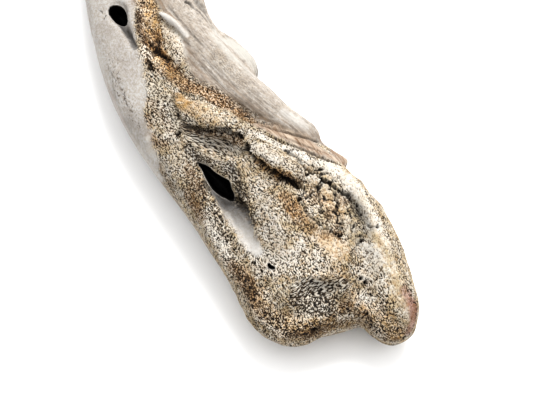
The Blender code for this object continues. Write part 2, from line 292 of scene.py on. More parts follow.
def cutDeepHoles(skin, tree):
    mesh = skin.data
    forward, _, _ = viewAxes()
    removed = bpy.data.collections.new("deepHoles")
    bpy.context.scene.collection.children.link(removed)
    for name, hole in deepHoles.items():
        rim = [Vector(place) for place, _ in onBone(tree, hole["pixels"])]
        middle = sum(rim, Vector()) / len(rim)
        flat = [p - forward * ((p - middle).dot(forward) * 0.5) for p in rim]
        rings = []
        for level in (-hole["lift"], 0.0, 0.15, 0.5, 0.85, 1.0):
            share = 1.0 if level <= 0 else 1.0 + (hole["shrink"] - 1.0) * level
            share = share * 0.6 if level == 1.0 else share
            push = forward * (level * hole["depth"] if level > 0 else level)
            rings.append([middle + (p - middle) * share + push for p in flat])
        cutter = ringMesh(name, rings, removed)
        # Painted shade inside the hole: three quarters at the rim, full from half the depth down.
        made = cutter.data.attributes.new("hollow", "FLOAT", "POINT")
        depths = [min(1.0, 0.75 + 2.0 * max(0.0, (v.co - middle).dot(forward)) / hole["depth"])
                  for v in cutter.data.vertices]
        made.data.foreach_set("value", depths)
    joinAll(skin, removed, "DIFFERENCE", "MANIFOLD")


def keepEvaluated(ob):
    graph = bpy.context.evaluated_depsgraph_get()
    graph.update()
    made = bpy.data.meshes.new_from_object(ob.evaluated_get(graph))
    ob.modifiers.clear()
    old = ob.data
    ob.data = made
    bpy.data.meshes.remove(old)


def joinAll(ob, collection, operation, solver="EXACT"):
    step = ob.modifiers.new(operation, "BOOLEAN")
    step.operation = operation
    step.operand_type = "COLLECTION"
    step.collection = collection
    step.solver = solver
    keepEvaluated(ob)
    for piece in list(collection.objects):
        bpy.data.objects.remove(piece, do_unlink=True)
    bpy.data.collections.remove(collection)


skinSettings = {"grain": 0.00075, "softenRounds": 3, "fineUpTo": 0.205, "fineAbove": -0.35}


def smoothedFrame():  # the CAD mesh, welded and rounded off
    mesh = frame["nodes"]["rib_bone"].data.copy()
    mesh.materials.clear()
    bm = bmesh.new()
    bm.from_mesh(mesh)
    bmesh.ops.remove_doubles(bm, verts=bm.verts, dist=1e-6)
    bm.to_mesh(mesh)
    bm.free()
    skin = bpy.data.objects.new("ribSkin", mesh)
    bpy.context.scene.collection.objects.link(skin)
    rounder = skin.modifiers.new("rounder", "SUBSURF")
    rounder.levels = rounder.render_levels = 1
    keepEvaluated(skin)
    return skin


def carveAgain(skin):
    added = bpy.data.collections.new("carvedForms")
    bpy.context.scene.collection.children.link(added)
    for name, form in carvedForms.items():
        rows = np.array(form["rows"], float)
        rows[:, :3] += np.array(aimPoint)
        lump(name, rows, added, form["power"])
    for name, form in pixelForms.items():
        rows = [list(pixelAtHeight(*row[:3])) + list(row[3:]) for row in form["rows"]]
        lump(name, rows, added, form["power"])
    joinAll(skin, added, "UNION")


def refine(skin):  # an even fine mesh, twice as fine on the carved end's upper side
    melt = skin.modifiers.new("melt", "REMESH")
    melt.mode = "VOXEL"
    melt.voxel_size = skinSettings["grain"]
    soften = skin.modifiers.new("soften", "SMOOTH")
    soften.iterations = skinSettings["softenRounds"]
    soften.factor = 0.5
    keepEvaluated(skin)
    mesh = skin.data
    centres = np.empty(len(mesh.polygons) * 3)
    facing = np.empty(len(mesh.polygons) * 3)
    mesh.polygons.foreach_get("center", centres)
    mesh.polygons.foreach_get("normal", facing)
    along, _ = alongBone(centres.reshape(-1, 3))
    wanted = (along < skinSettings["fineUpTo"]) & (facing.reshape(-1, 3)[:, 2] > skinSettings["fineAbove"])
    bm = bmesh.new()
    bm.from_mesh(mesh)
    bm.faces.ensure_lookup_table()
    inside = [bm.faces[i] for i in np.nonzero(wanted)[0]]
    edges = list({edge for face in inside for edge in face.edges})
    bmesh.ops.subdivide_edges(bm, edges=edges, cuts=1, use_grid_fill=True)
    bmesh.ops.triangulate(bm, faces=[face for face in bm.faces if len(face.verts) > 4])
    bm.to_mesh(mesh)
    bm.free()


# Strokes lie on the carved end. Each point is a pixel of the photograph with a radius in pixels and a strength.
pixelSize = 0.00045

edgeLines = {  # edges between dense and open bone: photo pixels, then (along, across) past the photo
    "outerBand": {"pixels": [(150, 132), (143, 116), (146, 104), (147, 91), (144, 80), (141, 64), (136, 43),
                             (134, 25), (135, 4)],
                  "before": [(0.000, -0.060), (0.075, -0.050)],
                  "after": [(0.260, -0.006), (0.330, -0.002), (0.400, 0.002), (0.470, 0.030), (0.700, 0.060)]},
    "plateRim": {"pixels": [(320, 144), (300, 138), (275, 128), (250, 118), (232, 107), (219, 94), (204, 86),
                            (193, 76), (186, 63), (183, 50), (178, 33), (168, 20), (158, 8)],
                 "before": [(0.000, 0.060), (0.070, 0.050)],
                 "after": [(0.260, 0.004), (0.330, 0.005), (0.400, 0.004), (0.470, -0.030), (0.700, -0.060)]},
}

# Lines that the grain follows, by photo pixel, then by distance along and across the bone.
grainLines = {
    "plateGrain": {"pixels": [(322, 156), (300, 136), (268, 109), (238, 84), (205, 50), (166, 9)],
                   "after": [(0.250, 0.014), (0.310, 0.012), (0.380, 0.010), (0.460, 0.004), (0.560, 0.0),
                             (0.670, 0.0)]},
    "recessGrain": {"pixels": [(172, 122), (188, 131), (207, 138), (226, 146), (240, 158), (252, 176), (262, 196)],
                    "after": []},
    "dishGrain": {"pixels": [(284, 306), (300, 297), (318, 289), (336, 278), (350, 266)], "after": []},
}

denseStrokes = [
    [(214, 193, 4), (221, 201, 7), (229, 210, 9), (237, 219, 10), (245, 231, 9), (252, 243, 8), (258, 252, 5)],
    [(120, 29, 5), (127, 37, 5), (133, 47, 3)],
    [(218, 38, 9), (236, 52, 13), (250, 66, 12), (258, 76, 8)],
    [(161, 13, 2), (166, 17, 3.5), (176, 25, 3.8), (186, 35, 3)],
]

# Stroke masks by photo pixel. Most are the bone's own stains and tones; the shade strokes paint shade, the lift strokes
# paint fill light, and two white strokes paint a highlight on the plate tip.
stainAndPaintedLightStrokes = {
    "rust": [
        [(150, 3, 10, 0.9), (152, 25, 11, 1), (155, 45, 11, 1), (163, 62, 10, 0.9), (174, 78, 9, 0.8),
         (190, 88, 8, 0.4), (206, 94, 8, 0.25), (222, 103, 7, 0.2), (236, 113, 6, 0.2), (250, 121, 5, 0.2)],
        [(160, 30, 9, 0.35), (172, 45, 9, 0.2), (182, 58, 8, 0.2)],
        [(178, 96, 6, 1), (183, 103, 9, 1), (192, 109, 10, 0.7), (203, 115, 9, 0.5), (214, 120, 7, 0.4)],
        [(283, 196, 8, 0.65), (292, 205, 10, 0.75), (300, 216, 9, 0.7), (316, 232, 10, 0.55), (328, 243, 11, 0.6),
         (341, 254, 10, 0.5)],
        [(256, 160, 5, 0.7), (266, 167, 6, 0.9), (276, 173, 7, 1), (288, 178, 7, 0.9), (297, 182, 5, 0.6)],
        [(322, 196, 8, 0.4), (332, 208, 9, 0.5), (340, 222, 9, 0.5)],
        [(240, 270, 9, 0.6), (254, 292, 10, 0.8), (270, 314, 11, 0.7), (300, 328, 13, 0.9), (330, 322, 11, 0.9)],
        [(346, 308, 10, 0.8), (352, 296, 8, 0.5)], [(326, 276, 8, 0.3), (344, 272, 8, 0.4)],
        [(365, 312, 12, 0.8), (386, 322, 12, 0.9), (396, 336, 9, 0.9)],
        [(150, 150, 6, 0.3), (162, 146, 6, 0.3)]],
    "brown": [
        [(139, 12, 4, 0.8), (140, 26, 5, 0.9), (144, 38, 5, 0.9), (150, 45, 6, 1), (158, 50, 6, 1),
         (165, 58, 5, 0.9), (172, 66, 6, 0.9), (180, 76, 7, 0.9)],
        [(156, 34, 5, 0.8), (159, 44, 5, 0.9)],
        [(146, 60, 4, 0.8), (152, 66, 4, 0.9)], [(134, 3, 5, 0.7), (142, 6, 4, 0.6)],
        [(150, 8, 7, 0.2), (150, 25, 8, 0.3), (152, 44, 9, 0.3), (148, 62, 7, 0.2)],
        [(160, 68, 7, 0.5), (170, 78, 7, 0.6), (184, 86, 8, 0.9), (199, 90, 9, 1), (214, 97, 9, 1),
         (230, 107, 8, 1), (247, 119, 6, 0.9), (262, 126, 5, 0.8), (280, 131, 6, 0.5)],
        [(196, 74, 8, 0.35), (210, 86, 8, 0.4), (226, 98, 8, 0.4), (242, 108, 7, 0.4)],
        [(176, 76, 7, 0.7), (188, 86, 7, 0.9), (202, 92, 7, 0.8), (216, 99, 7, 0.8), (232, 108, 6, 0.8),
         (248, 119, 5, 0.7)],
        [(189, 196, 9, 0.7), (196, 206, 9, 0.9), (201, 217, 8, 0.7)],
        [(188, 168, 6, 0.6), (196, 182, 7, 0.6), (203, 196, 6, 0.5)],
        [(230, 266, 9, 0.7), (243, 282, 11, 0.7), (253, 296, 10, 0.6), (262, 312, 9, 0.3)],
        [(268, 332, 9, 0.2), (296, 336, 8, 0.5), (318, 334, 8, 0.7), (336, 326, 7, 0.6), (352, 325, 7, 0.5),
         (374, 333, 7, 0.3), (396, 341, 6, 0.5)],
        [(346, 306, 6, 0.5), (358, 302, 5, 0.3), (368, 316, 6, 0.3)],
        [(183, 125, 5, 0.5), (200, 132, 6, 0.6), (222, 136, 6, 0.6), (240, 143, 5, 0.8)],
        [(258, 162, 4, 0.6), (272, 171, 4, 0.8), (286, 178, 5, 0.8), (300, 183, 4, 0.6)],
        [(284, 196, 7, 0.5), (292, 208, 8, 0.8), (300, 220, 6, 0.5)],
        [(306, 224, 6, 0.3), (320, 236, 6, 0.4), (338, 234, 5, 0.8), (340, 238, 3, 0.9)],
        [(316, 186, 8, 0.4), (312, 200, 7, 0.4), (350, 198, 5, 0.5), (328, 214, 8, 0.4)],
        [(148, 100, 5, 0.4), (160, 112, 6, 0.4), (170, 130, 6, 0.3)],
        [(147, 134, 5, 0.7), (156, 140, 5, 0.6), (165, 144, 4, 0.5)], [(160, 168, 5, 0.5), (172, 186, 5, 0.5)],
        [(148, 118, 4, 0.5), (150, 126, 4, 0.5)]],
    "grey": [
        [(166, 80, 8, 0.7), (152, 86, 10, 0.7), (160, 98, 12, 0.9), (170, 114, 12, 0.9), (178, 128, 10, 0.8),
         (176, 140, 8, 0.6)],
        [(296, 288, 9, 0.5), (312, 289, 10, 0.7), (328, 290, 9, 0.6), (341, 285, 6, 0.4)],
        [(186, 134, 6, 0.5), (205, 141, 8, 0.6), (225, 145, 8, 0.6), (242, 150, 6, 0.5)],
        [(190, 150, 8, 0.8), (204, 158, 8, 0.7), (220, 164, 8, 0.8), (234, 174, 8, 0.8), (242, 190, 8, 0.6)],
        [(350, 196, 7, 0.9), (357, 208, 8, 1), (364, 222, 8, 0.9), (372, 236, 7, 0.6)],
        [(348, 226, 9, 0.6), (362, 240, 9, 0.8), (372, 256, 9, 0.8), (380, 272, 8, 0.5)],
        [(217, 196, 7, 0.9), (224, 205, 8, 0.8), (232, 213, 6, 0.4)],
        [(128, 122, 7, 0.4), (146, 150, 10, 0.5), (162, 172, 12, 0.6), (180, 194, 9, 0.5)],
        [(196, 0, 4, 0.6), (205, 12, 5, 0.7), (212, 26, 4, 0.6)]],
    "white": [
        [(206, 216, 8, 0.6), (216, 236, 9, 0.9), (226, 256, 9, 0.9), (232, 268, 7, 0.6)],
        [(300, 158, 5, 0.6), (322, 163, 6, 0.9), (338, 172, 10, 0.8), (350, 184, 12, 0.8), (362, 200, 9, 0.7),
         (374, 220, 8, 0.7), (388, 244, 6, 0.5)],
        [(252, 132, 5, 0.8), (268, 140, 6, 0.9), (288, 149, 6, 0.9), (306, 158, 6, 0.9)],
        [(252, 146, 6, 0.7), (266, 153, 7, 0.8), (282, 161, 7, 0.7), (292, 168, 5, 0.5)],
        [(236, 222, 8, 0.5), (246, 236, 9, 0.9), (256, 250, 7, 0.8)],
        [(188, 148, 6, 0.5), (198, 157, 6, 0.6), (212, 158, 6, 0.5), (226, 166, 7, 0.7), (236, 178, 7, 0.5)],
        [(262, 262, 14, 0.6), (284, 262, 15, 0.7), (302, 250, 10, 0.5), (322, 268, 10, 0.6)],
        [(260, 190, 10, 0.3), (268, 215, 12, 0.4), (276, 240, 12, 0.5)],
        [(366, 246, 10, 0.6), (376, 260, 10, 0.7), (364, 276, 9, 0.7), (380, 284, 8, 0.5)],
        [(304, 300, 7, 0.4), (318, 303, 9, 0.6), (332, 299, 7, 0.4)],
        [(260, 300, 8, 0.4), (268, 316, 9, 0.6), (280, 328, 10, 0.7), (300, 322, 9, 0.6), (322, 314, 9, 0.6)],
        [(362, 300, 9, 0.6), (376, 316, 10, 0.6), (388, 328, 9, 0.5)],
        [(304, 290, 7, 0.3), (322, 288, 8, 0.3)],
        [(166, 26, 7, 0.4), (176, 40, 8, 0.7), (182, 54, 8, 0.7), (176, 64, 7, 0.5)],
        [(146, 12, 6, 0.4), (152, 30, 6, 0.3), (146, 54, 6, 0.4)],
        [(318, 236, 9, 0.3), (332, 248, 10, 0.4)],
        [(161, 13, 3, 1), (168, 18.5, 4.5, 1), (178, 27, 4.5, 1), (187, 35.5, 3, 1)],
        # Painted highlight along the rounded plate tip, in this stroke and the next.
        [(284, 112, 4, 0.7), (292, 117, 5, 0.9), (300, 122, 5, 0.8), (306, 127, 4, 0.6)],
        [(290, 116, 7, 0.2), (300, 123, 8, 0.3), (309, 130, 7, 0.2)],
        [(240, 132, 4, 0.5)],
        [(148, 138, 4, 1)], [(150, 152, 6, 0.5), (160, 162, 6, 0.5), (166, 176, 7, 0.5), (182, 196, 6, 0.4)],
        [(164, 124, 6, 0.4), (176, 148, 7, 0.4), (182, 172, 6, 0.4)]],
    "cream": [
        [(216, 33, 6, 0.8), (230, 42, 9, 0.9), (242, 52, 11, 0.9), (252, 62, 9, 0.6), (259, 72, 5, 0.3)],
        [(214, 36, 6, 0.5), (226, 49, 8, 0.6), (238, 61, 8, 0.6), (249, 72, 7, 0.4)]],
    "pink": [
        [(405, 290, 6, 0.7), (411, 302, 9, 1), (414, 316, 9, 1), (411, 330, 7, 0.8)],
        [(107, 82, 3, 0.2), (115, 103, 4, 0.35), (125, 123, 4, 0.3)]],
    "lamina": [
        [(258, 125, 5, 0.8), (271, 130, 8, 1), (286, 135, 9, 1), (300, 140.5, 9.5, 1), (312, 146, 9.5, 1),
         (322, 151.5, 9, 1), (334, 158, 9, 1), (343, 164, 7, 1)], [(336, 153, 7, 1), (344, 160, 7, 1)]],
    # Painted light: brightening of the struts that stands in for fill light, on the lower lobes and end, the dish, the
    # trough, the left flank, the brown band and the recess.
    "lift": [
        [(262, 300, 12, 0.9), (268, 316, 13, 1), (282, 328, 13, 1), (302, 322, 12, 0.9), (324, 316, 12, 0.9),
         (344, 314, 12, 0.9)],
        [(362, 302, 13, 0.8), (376, 318, 13, 0.9), (392, 332, 11, 0.9)], [(283, 196, 9, 0.2), (296, 212, 9, 0.3)],
        [(298, 292, 10, 0.6), (318, 290, 11, 0.7), (336, 286, 9, 0.5)],
        [(206, 216, 9, 0.3), (216, 238, 12, 0.7), (228, 260, 13, 0.8), (240, 276, 12, 0.6)],
        [(148, 6, 10, 0.5), (150, 28, 12, 0.7), (150, 52, 12, 0.7), (160, 66, 10, 0.5)],
        [(172, 44, 12, 0.2), (182, 58, 11, 0.2)],
        [(152, 86, 12, 0.4), (162, 106, 14, 0.5), (174, 128, 13, 0.5)],
        [(330, 246, 14, 0.15)],
        [(330, 168, 10, 0.15), (348, 182, 11, 0.15)],
        [(262, 262, 14, 0.2), (284, 266, 15, 0.25), (320, 272, 12, 0.2)],
        [(190, 86, 9, 0.4), (202, 90, 9, 0.7), (216, 98, 9, 0.9), (232, 108, 8, 0.8)],
        [(188, 136, 9, 0.4), (210, 143, 11, 0.6), (236, 153, 9, 0.4)], [(206, 110, 9, 0.2), (220, 116, 8, 0.3)],
        [(218, 216, 9, 0.3), (226, 244, 10, 0.5)], [(306, 196, 9, 0.3), (324, 206, 9, 0.3)]],
    "dotted": [
        [(204, 84, 5, 0.6), (214, 91, 6, 0.8), (226, 100, 6, 0.8), (240, 109, 5, 0.8), (254, 117, 5, 0.7)],
        [(212, 50, 8, 0.25), (224, 62, 9, 0.3), (236, 76, 8, 0.25), (250, 90, 7, 0.15)],
        [(262, 125, 5, 0.3), (280, 132, 7, 0.35), (300, 140, 8, 0.35), (320, 150, 8, 0.35), (336, 160, 6, 0.3)]],
    "striated": [
        [(196, 58, 8, 0.4), (208, 70, 10, 0.9), (222, 84, 12, 1), (240, 96, 12, 0.7), (258, 107, 11, 0.5),
         (276, 117, 9, 0.5), (294, 128, 7, 0.5), (308, 136, 6, 0.6)]],
    "faint": [
        [(166, 26, 7, 0.5), (176, 38, 8, 0.6), (184, 50, 7, 0.5), (190, 62, 6, 0.5)],
        [(178, 97, 7, 0.5), (190, 104, 11, 0.5), (204, 110, 10, 0.5), (220, 117, 8, 0.4)],
        [(330, 166, 8, 0.8), (344, 173, 10, 1), (356, 190, 10, 1), (366, 206, 9, 0.9)],
        [(262, 146, 8, 0.5), (280, 157, 8, 0.5)], [(268, 240, 12, 0.2), (290, 250, 12, 0.3)],
        [(322, 234, 12, 0.7), (340, 252, 10, 0.8)], [(370, 216, 8, 0.8), (380, 240, 9, 1), (391, 266, 9, 1),
                                                     (398, 290, 8, 0.8)], [(362, 246, 9, 0.4), (374, 262, 10, 0.4)],
        [(400, 290, 7, 0.8), (408, 306, 8, 1), (412, 322, 6, 1)]],
    "lacy": [
        [(262, 306, 7, 0.5), (272, 318, 10, 0.7), (290, 330, 11, 0.7), (310, 330, 11, 0.7), (332, 322, 10, 0.7)],
        [(300, 308, 8, 0.6), (322, 312, 9, 0.7), (350, 312, 8, 0.5), (372, 322, 10, 0.6), (394, 332, 9, 0.6)],
        [(224, 256, 8, 0.5), (238, 274, 9, 0.6), (250, 292, 9, 0.7)],
        [(196, 186, 7, 0.4), (206, 204, 8, 0.5), (216, 222, 8, 0.5), (226, 240, 8, 0.4)],
        [(140, 14, 6, 0.5), (148, 32, 7, 0.6), (152, 50, 7, 0.6), (150, 68, 6, 0.5)],
        [(214, 160, 5, 0.7), (224, 165, 8, 1), (234, 173, 8, 0.9), (239, 187, 8, 0.9), (244, 204, 7, 0.9),
         (252, 222, 6, 0.7)],
        [(296, 298, 8, 0.6), (315, 304, 10, 0.9), (334, 300, 8, 0.6)],
        [(298, 290, 9, 0.3), (312, 290, 10, 0.45), (330, 287, 9, 0.4), (342, 284, 6, 0.3)],
        [(188, 148, 7, 0.9), (198, 157, 7, 0.9), (210, 160, 6, 0.8)]],
    "cracked": [
        [(288, 150, 8, 0.6), (306, 166, 10, 1), (322, 180, 12, 1), (334, 198, 13, 1), (344, 218, 12, 0.9),
         (356, 236, 10, 0.7)],
        [(148, 18, 8, 0.5), (151, 38, 9, 0.6), (157, 54, 9, 0.6), (151, 66, 7, 0.5)]],
    "speckle": [
        [(104, 40, 5, 0.4), (110, 58, 7, 0.6), (114, 75, 8, 0.9), (120, 92, 9, 1), (128, 107, 9, 0.9),
         (138, 122, 8, 0.8)],
        [(118, 60, 8, 0.4), (124, 66, 8, 0.3)]],
    # Painted shade: darkening in the trough below the almond hole, the groove below the drilled hole, under the brow
    # and the boulder, down the head's middle, in the dish and the shoulder hollow, along the left edge, the lobe rim
    # and the lower end. The stroke along the top right edge is a grey-brown band of the bone's own colour.
    "shade": [
        [(208, 184, 6, 1), (214, 191, 7, 1), (221, 198, 8, 1), (228, 205, 8, 1), (234, 212, 7, 0.8),
         (241, 222, 7, 0.6), (248, 234, 7, 0.4), (255, 246, 5, 0.25)],
        [(236, 199, 3, 0.9), (241, 207, 3, 0.8), (247, 216, 3, 0.6), (252, 226, 2, 0.4)],
        [(122, 27, 4, 1), (127, 31, 4.5, 1), (131, 38, 4, 1), (135, 48, 3, 0.8)],
        [(196, 0, 4, 0.5), (204, 9, 5, 0.5), (210, 20, 5, 0.5), (214, 28, 3, 0.4)],
        [(110, 70, 4, 0.15), (114, 92, 4, 0.25), (121, 112, 4, 0.25), (131, 132, 4, 0.2)],
        [(184, 128, 6, 0.5), (198, 136, 8, 0.7), (212, 142, 9, 0.75), (226, 146, 9, 0.75), (240, 152, 7, 0.6)],
        [(298, 290, 7, 0.2), (312, 286, 8, 0.4), (328, 284, 8, 0.4), (341, 282, 6, 0.25)],
        [(290, 330, 13, 0.12), (322, 326, 13, 0.2), (346, 316, 11, 0.12)],
        [(262, 204, 10, 0.25), (268, 224, 12, 0.3), (274, 244, 12, 0.3), (284, 262, 12, 0.2)],
        [(350, 197, 5, 0.7), (356, 206, 7, 0.8), (363, 220, 7, 0.7), (369, 232, 6, 0.4)],
        [(250, 52, 6, 0.2), (256, 60, 7, 0.5), (260, 68, 6, 0.7), (261, 75, 4, 0.7)],
        [(270, 170, 6, 0.5), (284, 178, 6, 0.5), (298, 182, 6, 0.4)]],
    "recess": [
        [(184, 128, 5, 0.8), (194, 138, 9, 1), (208, 144, 11, 1), (224, 150, 11, 1), (238, 160, 9, 0.9),
         (247, 172, 7, 0.6)]],
    "dishLines": [
        [(296, 292, 9, 0.7), (312, 288, 10, 0.8), (328, 285, 10, 0.8), (342, 282, 8, 0.7)]],
}

# Relief strokes: pixels with an optional share, width and depth in metres (a negative depth raises),
# the profile's power, and the darkness painted along the stroke: crack colour in cracks and crevices,
# painted shade in browShade, sliverShade, troughWedge and groove.
reliefStrokes = {
    "underBoulder": {"pixels": [(240, 141), (245, 148), (253, 157), (262, 165, 0.8), (275, 173), (288, 181),
                                (300, 187, 0.8), (309, 192, 0.5)],
                     "width": 0.00120, "depth": 0.0046, "power": 0.8, "dark": 1.0},
    "boulderHead": {"pixels": [(236, 132), (243, 137), (246, 145), (243, 152)],
                    "width": 0.00082, "depth": 0.0024, "power": 0.8, "dark": 1.0},
    "overBoulder": {"pixels": [(248, 136), (262, 141), (276, 147), (289, 151), (299, 160), (306, 173), (317, 187)],
                    "width": 0.0007, "depth": 0.0010, "power": 0.8, "dark": 0.7},
    "shoulderCrack": {"pixels": [(297, 162), (310, 171), (323, 179), (334, 187), (345, 194), (355, 203)],
                      "width": 0.00082, "depth": 0.0020, "power": 0.8, "dark": 0.9},
    "branchA": {"pixels": [(323, 180), (317, 190), (309, 197), (299, 199)],
                "width": 0.00056, "depth": 0.0014, "power": 0.8, "dark": 0.9},
    "branchB": {"pixels": [(317, 190), (321, 203), (322, 212), (332, 218)],
                "width": 0.00048, "depth": 0.0012, "power": 0.8, "dark": 0.75},
    "branchC": {"pixels": [(299, 199), (306, 211), (317, 222), (331, 232), (341, 238)],
                "width": 0.00048, "depth": 0.0012, "power": 0.8, "dark": 0.7},
    "branchD": {"pixels": [(355, 203), (360, 214), (369, 226), (377, 228)],
                "width": 0.00048, "depth": 0.0012, "power": 0.8, "dark": 0.75},
    "branchE": {"pixels": [(306, 173), (300, 183), (304, 192), (299, 199)],
                "width": 0.00048, "depth": 0.0011, "power": 0.8, "dark": 0.7},
    "branchF": {"pixels": [(334, 187), (338, 199), (335, 210), (341, 222), (339, 235)],
                "width": 0.00045, "depth": 0.0010, "power": 0.8, "dark": 0.6},
    "lobeCrack": {"pixels": [(367, 237), (362, 241), (356, 248, 0.8), (352, 256, 0.6), (350, 268, 0.5),
                             (351, 281, 0.6), (348, 290, 0.5)],
                  "width": 0.0005, "depth": 0.0009, "power": 0.8, "dark": 0.7},
    # Painted shade under the brow flap.
    "browShade": {"pixels": [(181, 119), (185, 126), (196, 129), (210, 131), (225, 132), (238, 137), (247, 146)],
                  "width": 0.0013, "depth": 0.0018, "power": 0.8, "dark": 0.6},
    "browEdge": {"pixels": [(172, 91), (173, 99), (176, 109), (180, 119), (186, 127, 0.7)],
                 "width": 0.0011, "depth": 0.0013, "power": 1.0, "dark": 0.42},
    "browTop": {"pixels": [(174, 90), (189, 94), (204, 99), (218, 105), (232, 114), (244, 124)],
                "width": 0.0008, "depth": 0.0009, "power": 1.0, "dark": 0.35},
    "browFold": {"pixels": [(208, 127), (222, 128), (236, 133), (246, 141)],
                 "width": 0.0006, "depth": 0.0007, "power": 0.8, "dark": 0.6},
    "crevice": {"pixels": [(146, 40), (152, 45), (158, 50), (165, 57), (171, 62, 0.5)],
                "width": 0.0013, "depth": 0.0026, "power": 1.0, "dark": 0.95},
    "creviceTop": {"pixels": [(156, 35, 0.6), (158, 42), (158, 50), (155, 56, 0.6)],
                   "width": 0.0010, "depth": 0.0020, "power": 1.0, "dark": 0.9},
    "creviceLow": {"pixels": [(147, 58, 0.6), (149, 63), (152, 69), (154, 74, 0.5)],
                   "width": 0.0007, "depth": 0.0016, "power": 1.0, "dark": 0.9},
    "creviceHigh": {"pixels": [(147, 22, 0.6), (150, 27), (152, 32, 0.6)],
                    "width": 0.0008, "depth": 0.0014, "power": 1.0, "dark": 0.9},
    "creviceEdge": {"pixels": [(137, 8, 0.5), (138, 18), (139, 28), (142, 38), (144, 46, 0.5)],
                    "width": 0.0010, "depth": 0.0010, "power": 1.0, "dark": 0.6},
    "creviceEnd": {"pixels": [(141, 0), (144, 3), (149, 6, 0.6)],
                   "width": 0.0009, "depth": 0.0014, "power": 1.0, "dark": 0.8},
    "plateGroove": {"pixels": [(166, 5), (174, 14), (183, 24), (190, 33), (198, 41), (207, 50, 0.5)],
                    "width": 0.0007, "depth": 0.0006, "power": 1.0, "dark": 0.30},
    # Painted shadow beside the white sliver.
    "sliverShade": {"pixels": [(163, 22), (174, 31), (183, 40), (191, 50, 0.6)],
                    "width": 0.0018, "depth": 0.0010, "power": 1.2, "dark": 0.20},
    "bandCrack": {"pixels": [(98.8, 8), (100.5, 11), (102.2, 14.6)],
                  "width": 0.0003, "depth": 0.0004, "power": 0.8, "dark": 0.55},
    "bandCrackLow": {"pixels": [(103, 19), (105.5, 17.4), (108.4, 16.2)],
                     "width": 0.0004, "depth": 0.0004, "power": 0.8, "dark": 0.7},
    "bandScore": {"pixels": [(121, 90, 0.4), (124, 97), (127, 105), (129.5, 111, 0.6)],
                  "width": 0.0004, "depth": 0.0004, "power": 0.8, "dark": 0.6},
    "bandScoreHigh": {"pixels": [(109, 67, 0.4), (112, 75), (117, 82, 0.7), (121, 88, 0.3)],
                      "width": 0.0004, "depth": 0.0003, "power": 0.8, "dark": 0.45},
    "topNotch": {"pixels": [(185, 0), (188, 2), (191, 5, 0.7)],
                 "width": 0.0010, "depth": 0.0014, "power": 1.0, "dark": 0.8},
    "topLine": {"pixels": [(189, 3), (197, 10), (204, 17), (211, 27, 0.7)],
                "width": 0.0008, "depth": 0.0010, "power": 1.0, "dark": 0.48},
    "topLayer": {"pixels": [(196, 0), (205, 12), (213, 26, 0.7)],
                 "width": 0.0030, "depth": 0.0012, "power": 0.6, "dark": 0.0},
    "laminaUpper": {"pixels": [(256, 124, 0.6), (270, 128), (285, 132), (302, 137), (316, 142), (324, 144, 0.7)],
                    "width": 0.0007, "depth": 0.0012, "power": 0.9, "dark": 0.38},
    "laminaMiddle": {"pixels": [(276, 134, 0.5), (292, 140), (308, 147), (322, 152), (336, 159, 0.6)],
                     "width": 0.0006, "depth": 0.0008, "power": 0.9, "dark": 0.35},
    "laminaLower": {"pixels": [(262, 133), (280, 140.5), (295, 146), (312, 154), (328, 160), (344, 167)],
                    "width": 0.0007, "depth": 0.0010, "power": 0.8, "dark": 0.5},
    "troughBowl": {"pixels": [(214, 186, 0.6), (221, 196, 0.8), (230, 206, 0.95), (238, 217, 1), (245, 230, 0.8),
                              (252, 243, 0.6), (258, 254, 0.4)],
                   "width": 0.0062, "depth": 0.0012, "power": 0.55, "dark": 0.0},
    # Painted shadow along the trough's steep right wall.
    "troughWedge": {"pixels": [(235, 199), (241, 207), (247, 216, 0.7), (251, 223, 0.5)],
                    "width": 0.0024, "depth": 0.0030, "power": 0.8, "dark": 0.55},
    "troughLip": {"pixels": [(206, 184, 0.5), (213, 197), (221, 213), (232, 232), (243, 248), (252, 259, 0.6)],
                  "width": 0.0016, "depth": -0.0007, "power": 1.5, "dark": 0.0},
    # Painted shade in the funnel below the drilled hole.
    "groove": {"pixels": [(122, 24), (127, 32, 0.8), (132, 41, 0.5), (137, 50, 0.3)],
               "width": 0.0030, "depth": 0.0026, "power": 0.9, "dark": 0.40},
    "dish": {"pixels": [(297, 292), (312, 289), (328, 289), (341, 285)],
             "width": 0.0060, "depth": 0.0010, "power": 1.2, "dark": 0.0},
    "dishRim": {"pixels": [(293, 283), (308, 277), (326, 276), (341, 279), (347, 286)],
                "width": 0.0024, "depth": -0.0007, "power": 1.6, "dark": 0.0},
    "shoulderHollow": {"pixels": [(352, 199), (359, 212), (366, 226)],
                       "width": 0.0040, "depth": 0.0006, "power": 1.4, "dark": 0.0},
    "lobeValley": {"pixels": [(346, 332), (345, 318), (344, 304), (340, 294)],
                   "width": 0.0042, "depth": 0.0016, "power": 1.6, "dark": 0.0},
}

pits = {  # single deep holes: pixel, radius and depth in metres; each paints near-black shade into its pit
    "low": [((254, 263), 0.0009, 0.0016), ((262, 271), 0.0006, 0.0012)],
    "lobe": [((361.5, 278), 0.0009, 0.0022), ((366, 282.5), 0.0011, 0.0026), ((340, 235), 0.0010, 0.0018),
             ((336, 233), 0.0007, 0.0014), ((378, 226), 0.0010, 0.0022), ((362, 240), 0.0008, 0.0016)],
    "end": [((298.5, 317), 0.0008, 0.0018), ((316, 331), 0.0018, 0.0024), ((367, 313), 0.0009, 0.0016),
            ((405, 338), 0.0011, 0.0014)],
    "upper": [((178.5, 133), 0.0012, 0.0028), ((149, 27), 0.0005, 0.0014), ((152, 67), 0.0005, 0.0014),
              ((160, 49), 0.0007, 0.0016), ((174, 101), 0.0006, 0.0012)],
    "cracked": [((323, 179), 0.0010, 0.0022), ((299, 198.5), 0.0011, 0.0024), ((322, 212), 0.0010, 0.0022),
                ((248, 147), 0.0012, 0.0030), ((357, 205), 0.0008, 0.0014)],
}


